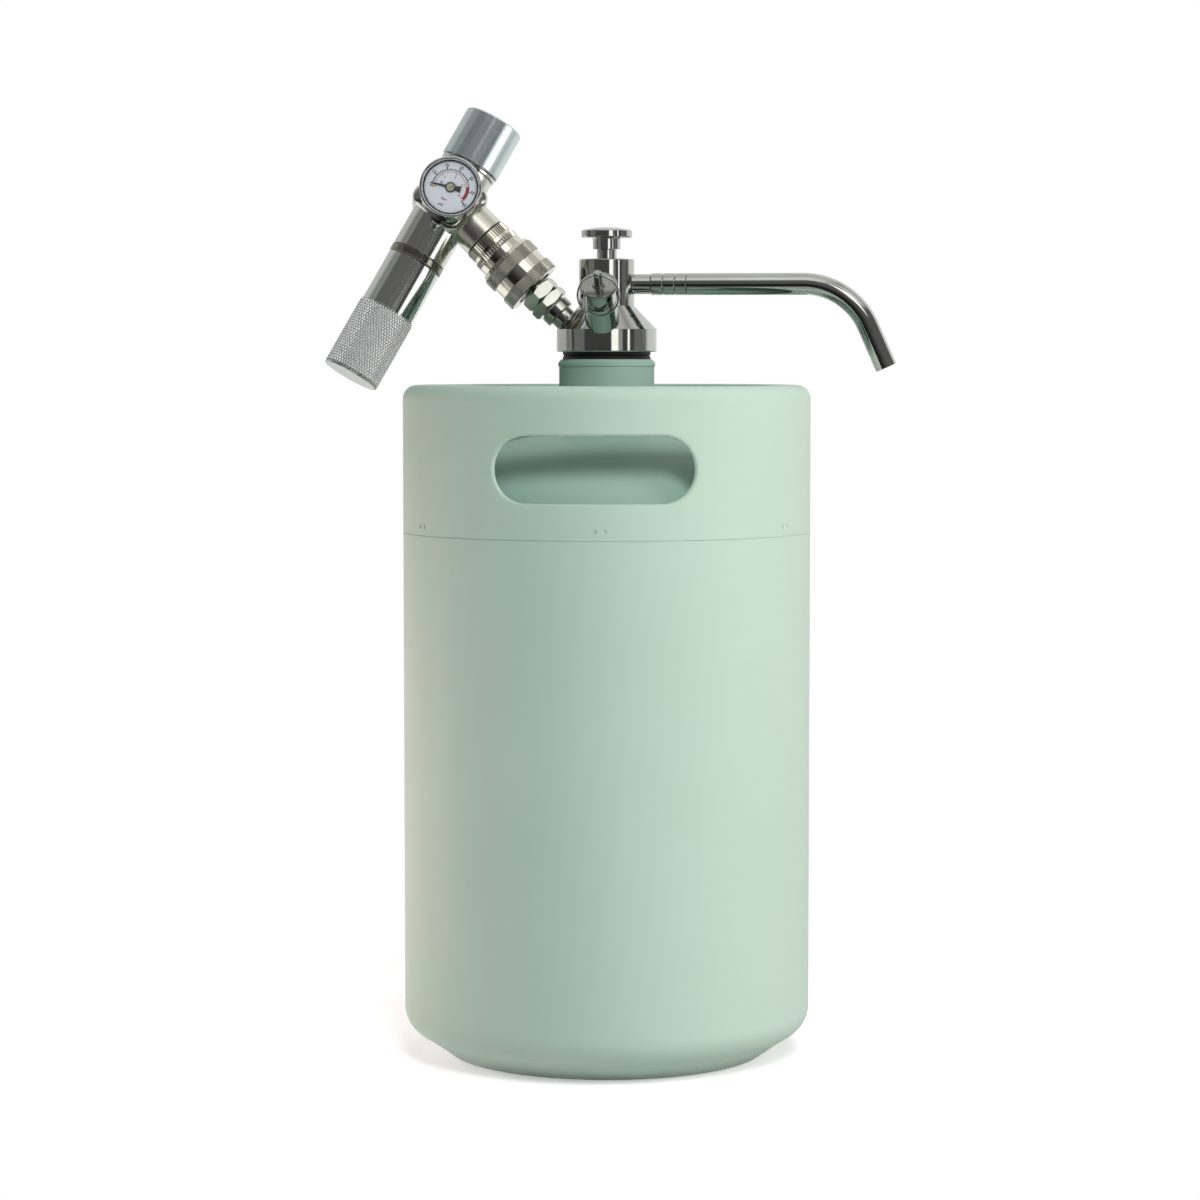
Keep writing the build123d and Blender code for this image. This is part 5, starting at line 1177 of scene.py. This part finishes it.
def dialText(words, size, right, rise, k, squeeze=1.0):
    deselectAll()
    bpy.ops.object.text_add()
    text = bpy.context.object
    text.data.body = words
    text.data.size = size * mm
    text.data.align_x = "CENTER"
    text.data.align_y = "CENTER"
    text.data.extrude = k["ink"] / 2 * mm
    text.data.offset = 0.03 * mm
    bpy.ops.object.convert(target="MESH")
    text = bpy.context.object
    text.matrix_world = (Matrix.Translation((right * mm, rise * mm,
                                             (k["dialFront"] + k["ink"] / 2) * mm))
                         @ Matrix.Diagonal((squeeze, 1, 1, 1)))
    put(text, gaugeLine)
    return text


def atAngle(radius, angle):
    return -radius * sin(radians(angle)), radius * cos(radians(angle))


dialSizes = dict(
    perPsi=3.75, psiArc=(7.6, 7.88), minor=8.5, major=8.95, number=9.85, numberSize=2.25,
    barArc=(6.8, 7.0), barMinor=6.5, barMajor=6.15, perBar=54.39, barNumber=5.1, barNumberSize=1.75,
    nought=4.5, noughtAngle=92.0, redFrom=46, redTo=58, redArc=(7.0, 8.15), barWord=-5.7,
    psiWord=-8.4, wordSize=2.0, psiWide=0.5, psiThin=0.34, barWide=0.34, barThin=0.22)


def makePrint(k, d):
    black, red = [], []
    zero = k["zero"]
    for psi in range(0, 61, 2):
        long = psi % 10 == 0
        black.append(dialBar(d["psiArc"][0], d["major"] if long else d["minor"],
                             d["psiWide"] if long else d["psiThin"], zero - psi * d["perPsi"], k))
    black.append(dialArc(*d["psiArc"], zero, -zero, k))
    for number in range(10, 61, 10):
        right, rise = atAngle(d["number"], zero - number * d["perPsi"])
        black.append(dialText(str(number), d["numberSize"], right, rise, k, 0.85))
    black.append(dialText("psi", d["wordSize"], 0, d["psiWord"], k))
    for fifth in range(0, 21):
        long = fifth % 5 == 0
        red.append(dialBar(d["barMajor"] if long else d["barMinor"], d["barArc"][1],
                           d["barWide"] if long else d["barThin"],
                           zero - fifth * d["perBar"] / 5, k))
    red.append(dialArc(*d["barArc"], zero, -zero, k))
    red.append(dialArc(*d["redArc"], zero - d["redFrom"] * d["perPsi"],
                       zero - d["redTo"] * d["perPsi"], k, 24))
    red.append(dialText("bar", d["wordSize"], 0, d["barWord"], k))
    for number in range(1, 5):
        right, rise = atAngle(d["barNumber"], zero - number * d["perBar"])
        red.append(dialText(str(number), d["barNumberSize"], right, rise, k, 0.9))
    right, rise = atAngle(d["nought"], d["noughtAngle"])
    black.append(dialText("0", d["numberSize"], right, rise, k, 0.9))
    for name, marks, finish in (("dialBlackPrint", black, inkBlack),
                                ("dialRedPrint", red, inkRed)):
        printed = joinPieces(*marks)
        printed.name = printed.data.name = name
        printed.data.materials.clear()
        printed.data.materials.append(finish)
        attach(printed, "regulator")


makePrint(gaugeSizes, dialSizes)


def makeNeedle(k):
    # drawn pointing straight up, then turned to its rest against the stop pin
    needle = startPoint("gaugeNeedle")
    outline = [(-k["tailWidth"] / 2, -k["tail"]), (k["tailWidth"] / 2, -k["tail"]),
               (k["root"] / 2, 0), (k["tip"] / 2, k["length"]), (-k["tip"] / 2, k["length"]),
               (-k["root"] / 2, 0)]
    drawOutline([(right, rise, k["needleStart"]) for right, rise in outline])
    selectAll()
    bpy.ops.mesh.edge_face_add()
    selectAll()
    extrudeFace(k["needleEnd"] - k["needleStart"])
    cleanUp(0.0005)
    restLine = spunLine(gaugeLine, k["rest"])
    put(needle, restLine)
    boss = disc("needleBoss", k["boss"], k["needleStart"], k["needleEnd"] + 0.02, gaugeLine, 48,
                0.05)
    settle(joinPieces(needle, boss), needleBlack, "needle_black", "needle", "gauge_needle")
    screw = turned("needleHub", trace(k,
        "0 24.0, 0.6 24.0, 0.6 needleEnd, hub needleEnd, hub hubEnd-0.12, hub-0.12 hubEnd, "
        "0.9 hubEnd, 0.7 hubEnd-0.1, 0 hubEnd-0.1"), gaugeLine, 56, 0.03)
    cutWith(screw, box((k["hub"] * k["slotLength"], k["slotWidth"], k["slotDepth"]),
                       (0, 0, k["hubEnd"]), spunLine(gaugeLine, k["slotTurn"])))
    smooth(screw)
    settle(screw, screwSteel, "brass", "needle", "needle_hub")
    right, rise = atAngle(k["pinPlace"], k["zero"])
    lathe("stopPin", trace(k,
        "0 0, pin 0, pin 0.6, pin-0.2 0.8, 0 0.8"),
        gaugeLine @ Matrix.Translation((right * mm, rise * mm, k["dialFront"] * mm)), 32, 0.03,
        brass, "brass", "regulator", "stop_pin")


makeNeedle(gaugeSizes)
print("gauge made")

studioSizes = dict(
    cameraBack=1531.8, cameraHeight=307.0, tilt=86.05, lens=103.8, shift=-0.0056, floor=6.0,
    shadowFrom=120.0, shadowTo=330.0)


def makeStudio(k):
    deselectAll()
    bpy.ops.object.camera_add(location=(0, -k["cameraBack"] * mm, k["cameraHeight"] * mm),
                              rotation=(radians(k["tilt"]), 0, 0))
    camera = bpy.context.object
    camera.data.lens = k["lens"]
    camera.data.sensor_width = 36
    camera.data.shift_x = k["shift"]
    camera.data.clip_start = 0.05
    bpy.context.scene.camera = camera
    deselectAll()
    bpy.ops.mesh.primitive_plane_add(size=k["floor"], location=(0, 0, -0.0003))
    floor = bpy.context.object
    floor.name = "floor"
    floor.visible_glossy = False
    material, tree, shader = newMaterial("floorPaper")
    shader.inputs["Base Color"].default_value = (0.93, 0.93, 0.93, 1)
    shader.inputs["Roughness"].default_value = 0.9
    # away from the keg the paper is plain white to the eye, near it the shadow shows
    coords = tree.nodes.new("ShaderNodeTexCoord")
    reach = addNode(tree, "ShaderNodeVectorMath", {0: coords.outputs["Object"]},
                    operation="LENGTH")
    far = mapRange(tree, reach.outputs["Value"], k["shadowFrom"] * mm, k["shadowTo"] * mm,
                   curve="SMOOTHSTEP")
    white = addNode(tree, "ShaderNodeEmission", {"Color": (1, 1, 1, 1), "Strength": 1.0})
    path = tree.nodes.new("ShaderNodeLightPath")
    seen = mathNode(tree, "MAXIMUM", path.outputs["Is Camera Ray"],
                    path.outputs["Is Transmission Ray"])
    share = mathNode(tree, "MULTIPLY", seen, far)
    glow = addNode(tree, "ShaderNodeEmission",
                   {"Color": (1, 1, 1, 1), "Strength": mathNode(tree, "MULTIPLY", seen, 0.4)})
    near = addNode(tree, "ShaderNodeAddShader", {0: shader.outputs[0], 1: glow.outputs[0]})
    mix = addNode(tree, "ShaderNodeMixShader", {0: share, 1: near.outputs[0],
                                                2: white.outputs[0]})
    tree.links.new(mix.outputs[0], tree.nodes["Material Output"].inputs["Surface"])
    floor.data.materials.append(material)


makeStudio(studioSizes)


def softBox(name, bearing, distance, height, width, tall, power, colour):
    # bearing in degrees to the right of the camera's own direction
    place = Vector((sin(radians(bearing)) * distance, -cos(radians(bearing)) * distance, height))
    aim = Vector((0, 0, min(height, 0.2)))
    deselectAll()
    bpy.ops.object.light_add(type="AREA", location=place)
    lamp = bpy.context.object
    lamp.name = name
    lamp.data.shape = "RECTANGLE"
    lamp.data.size = width
    lamp.data.size_y = tall
    lamp.data.energy = power
    lamp.data.color = colour
    lamp.rotation_euler = (aim - place).to_track_quat("-Z", "Y").to_euler()
    lamp.visible_glossy = False
    lamp.visible_camera = False
    lamp.visible_transmission = False


softBox("frontBox", 14, 1.15, 1.2, 0.6, 0.6, 13.2, (1.0, 1.0, 1.0))
softBox("rightBox", 75, 1.5, 0.5, 0.6, 1.0, 13.2, (1.0, 0.84, 0.86))
softBox("leftBox", -108, 0.42, 0.08, 0.25, 0.25, 1.5, (1.0, 0.73, 0.73))
softBox("topBox", 150, 0.3, 1.6, 1.0, 1.0, 5.0, (1.0, 1.0, 1.0))


# bearing from and to, height from and to in degrees, softness, strength
mirrorPatches = [
    (11, 27, -3, 5.5, 1.5, 1.75), (27, 37, -3, 2, 2.0, 0.5), (49.5, 54.5, -3, 5, 0.8, 1.75),
    (-82, -52, -5, 5, 3.0, 0.22), (66, 92, -4, 5, 3.0, 0.2), (51.5, 82, -19, -4, 2.5, 1.9),
    (82, 112, -19.5, -4.5, 1.5, 0.75), (8.5, 36, 22.5, 44, 2.0, 1.75),
    (32, 62, 36, 62, 4.0, 0.95), (58, 130, 38, 64, 6.0, 0.6), (-180, 180, 62, 130, 10.0, 0.68),
    (-36, 34, 50, 72, 7.0, 0.85), (-20, 10, 37, 74, 6.0, 0.98),
    (-100, -62, 20, 60, 12.0, 0.3), (-140, -96, 15, 60, 10.0, 0.42),
    (-62, 45, -62, -31, 3.0, 0.42), (-104, -46, -62, -23, 4.0, 0.3),
    (-96, -66, -62, -28, 4.0, 0.7), (-185, -93, -62, -22, 8.0, 1.2),
    (-185, 185, -130, -62, 4.0, 0.3)]


worldValues = dict(diffuse=0.13, shade=0.78, tint=(0.985, 1.0, 0.98, 1))


def makeWorld(k):
    world = bpy.data.worlds.new("studio")
    bpy.context.scene.world = world
    world.use_nodes = True
    tree = world.node_tree
    output = tree.nodes["World Output"]
    room = tree.nodes["Background"]
    coords = tree.nodes.new("ShaderNodeTexCoord")
    direction = addNode(tree, "ShaderNodeSeparateXYZ", {0: coords.outputs["Generated"]})
    across, ahead, rise = direction.outputs
    turnedToCamera = mathNode(tree, "MULTIPLY", ahead, -1.0)
    bearing = mathNode(tree, "ARCTAN2", across, turnedToCamera)
    height = mathNode(tree, "ARCSINE", rise)

    def ramp(value, low, high, first, last):
        return mapRange(tree, value, low, high, first, last, "SMOOTHSTEP")

    def between(value, low, high, soft):
        rising = ramp(value, radians(low - soft), radians(low + soft), 0.0, 1.0)
        falling = ramp(value, radians(high - soft), radians(high + soft), 1.0, 0.0)
        return mathNode(tree, "MULTIPLY", rising, falling)

    # what metal sees: white paper behind, a dark room in front, and lit patches in it
    front = ramp(height, radians(-12), radians(15), 0.02, 0.14)
    paper = ramp(across, -0.6, 0.6, 0.62, 0.95)
    behind = ramp(ahead, 0.05, 0.42, 0.0, 1.0)
    mirrored = mixNode(tree, behind, front, paper, "FLOAT")
    for left, right, foot, head, soft, strength in mirrorPatches:
        patch = mathNode(tree, "MULTIPLY", between(bearing, left, right, soft),
                         between(height, foot, head, soft))
        patch = mathNode(tree, "MULTIPLY", patch, strength)
        mirrored = mathNode(tree, "MAXIMUM", mirrored, patch)
    shaded = mathNode(tree, "MULTIPLY", between(bearing, 96, 185, 2.0),
                      between(height, -95, -20, 1.0))
    kept = mathNode(tree, "SUBTRACT", 1.0, mathNode(tree, "MULTIPLY", shaded, k["shade"]))
    mirrored = mathNode(tree, "MULTIPLY", mirrored, kept)
    path = tree.nodes.new("ShaderNodeLightPath")
    level = mixNode(tree, path.outputs["Is Glossy Ray"], k["diffuse"], mirrored, "FLOAT")
    tree.links.new(level, room.inputs["Strength"])
    room.inputs["Color"].default_value = k["tint"]
    white = addNode(tree, "ShaderNodeBackground", {"Color": (1, 1, 1, 1), "Strength": 1.0})
    seen = mathNode(tree, "MAXIMUM", path.outputs["Is Camera Ray"],
                    path.outputs["Is Transmission Ray"])
    mix = addNode(tree, "ShaderNodeMixShader", {0: seen, 1: room.outputs[0],
                                                2: white.outputs[0]})
    tree.links.new(mix.outputs[0], output.inputs["Surface"])


makeWorld(worldValues)
bpy.context.scene.view_settings.view_transform = "Standard"
deselectAll()
print("studio made")
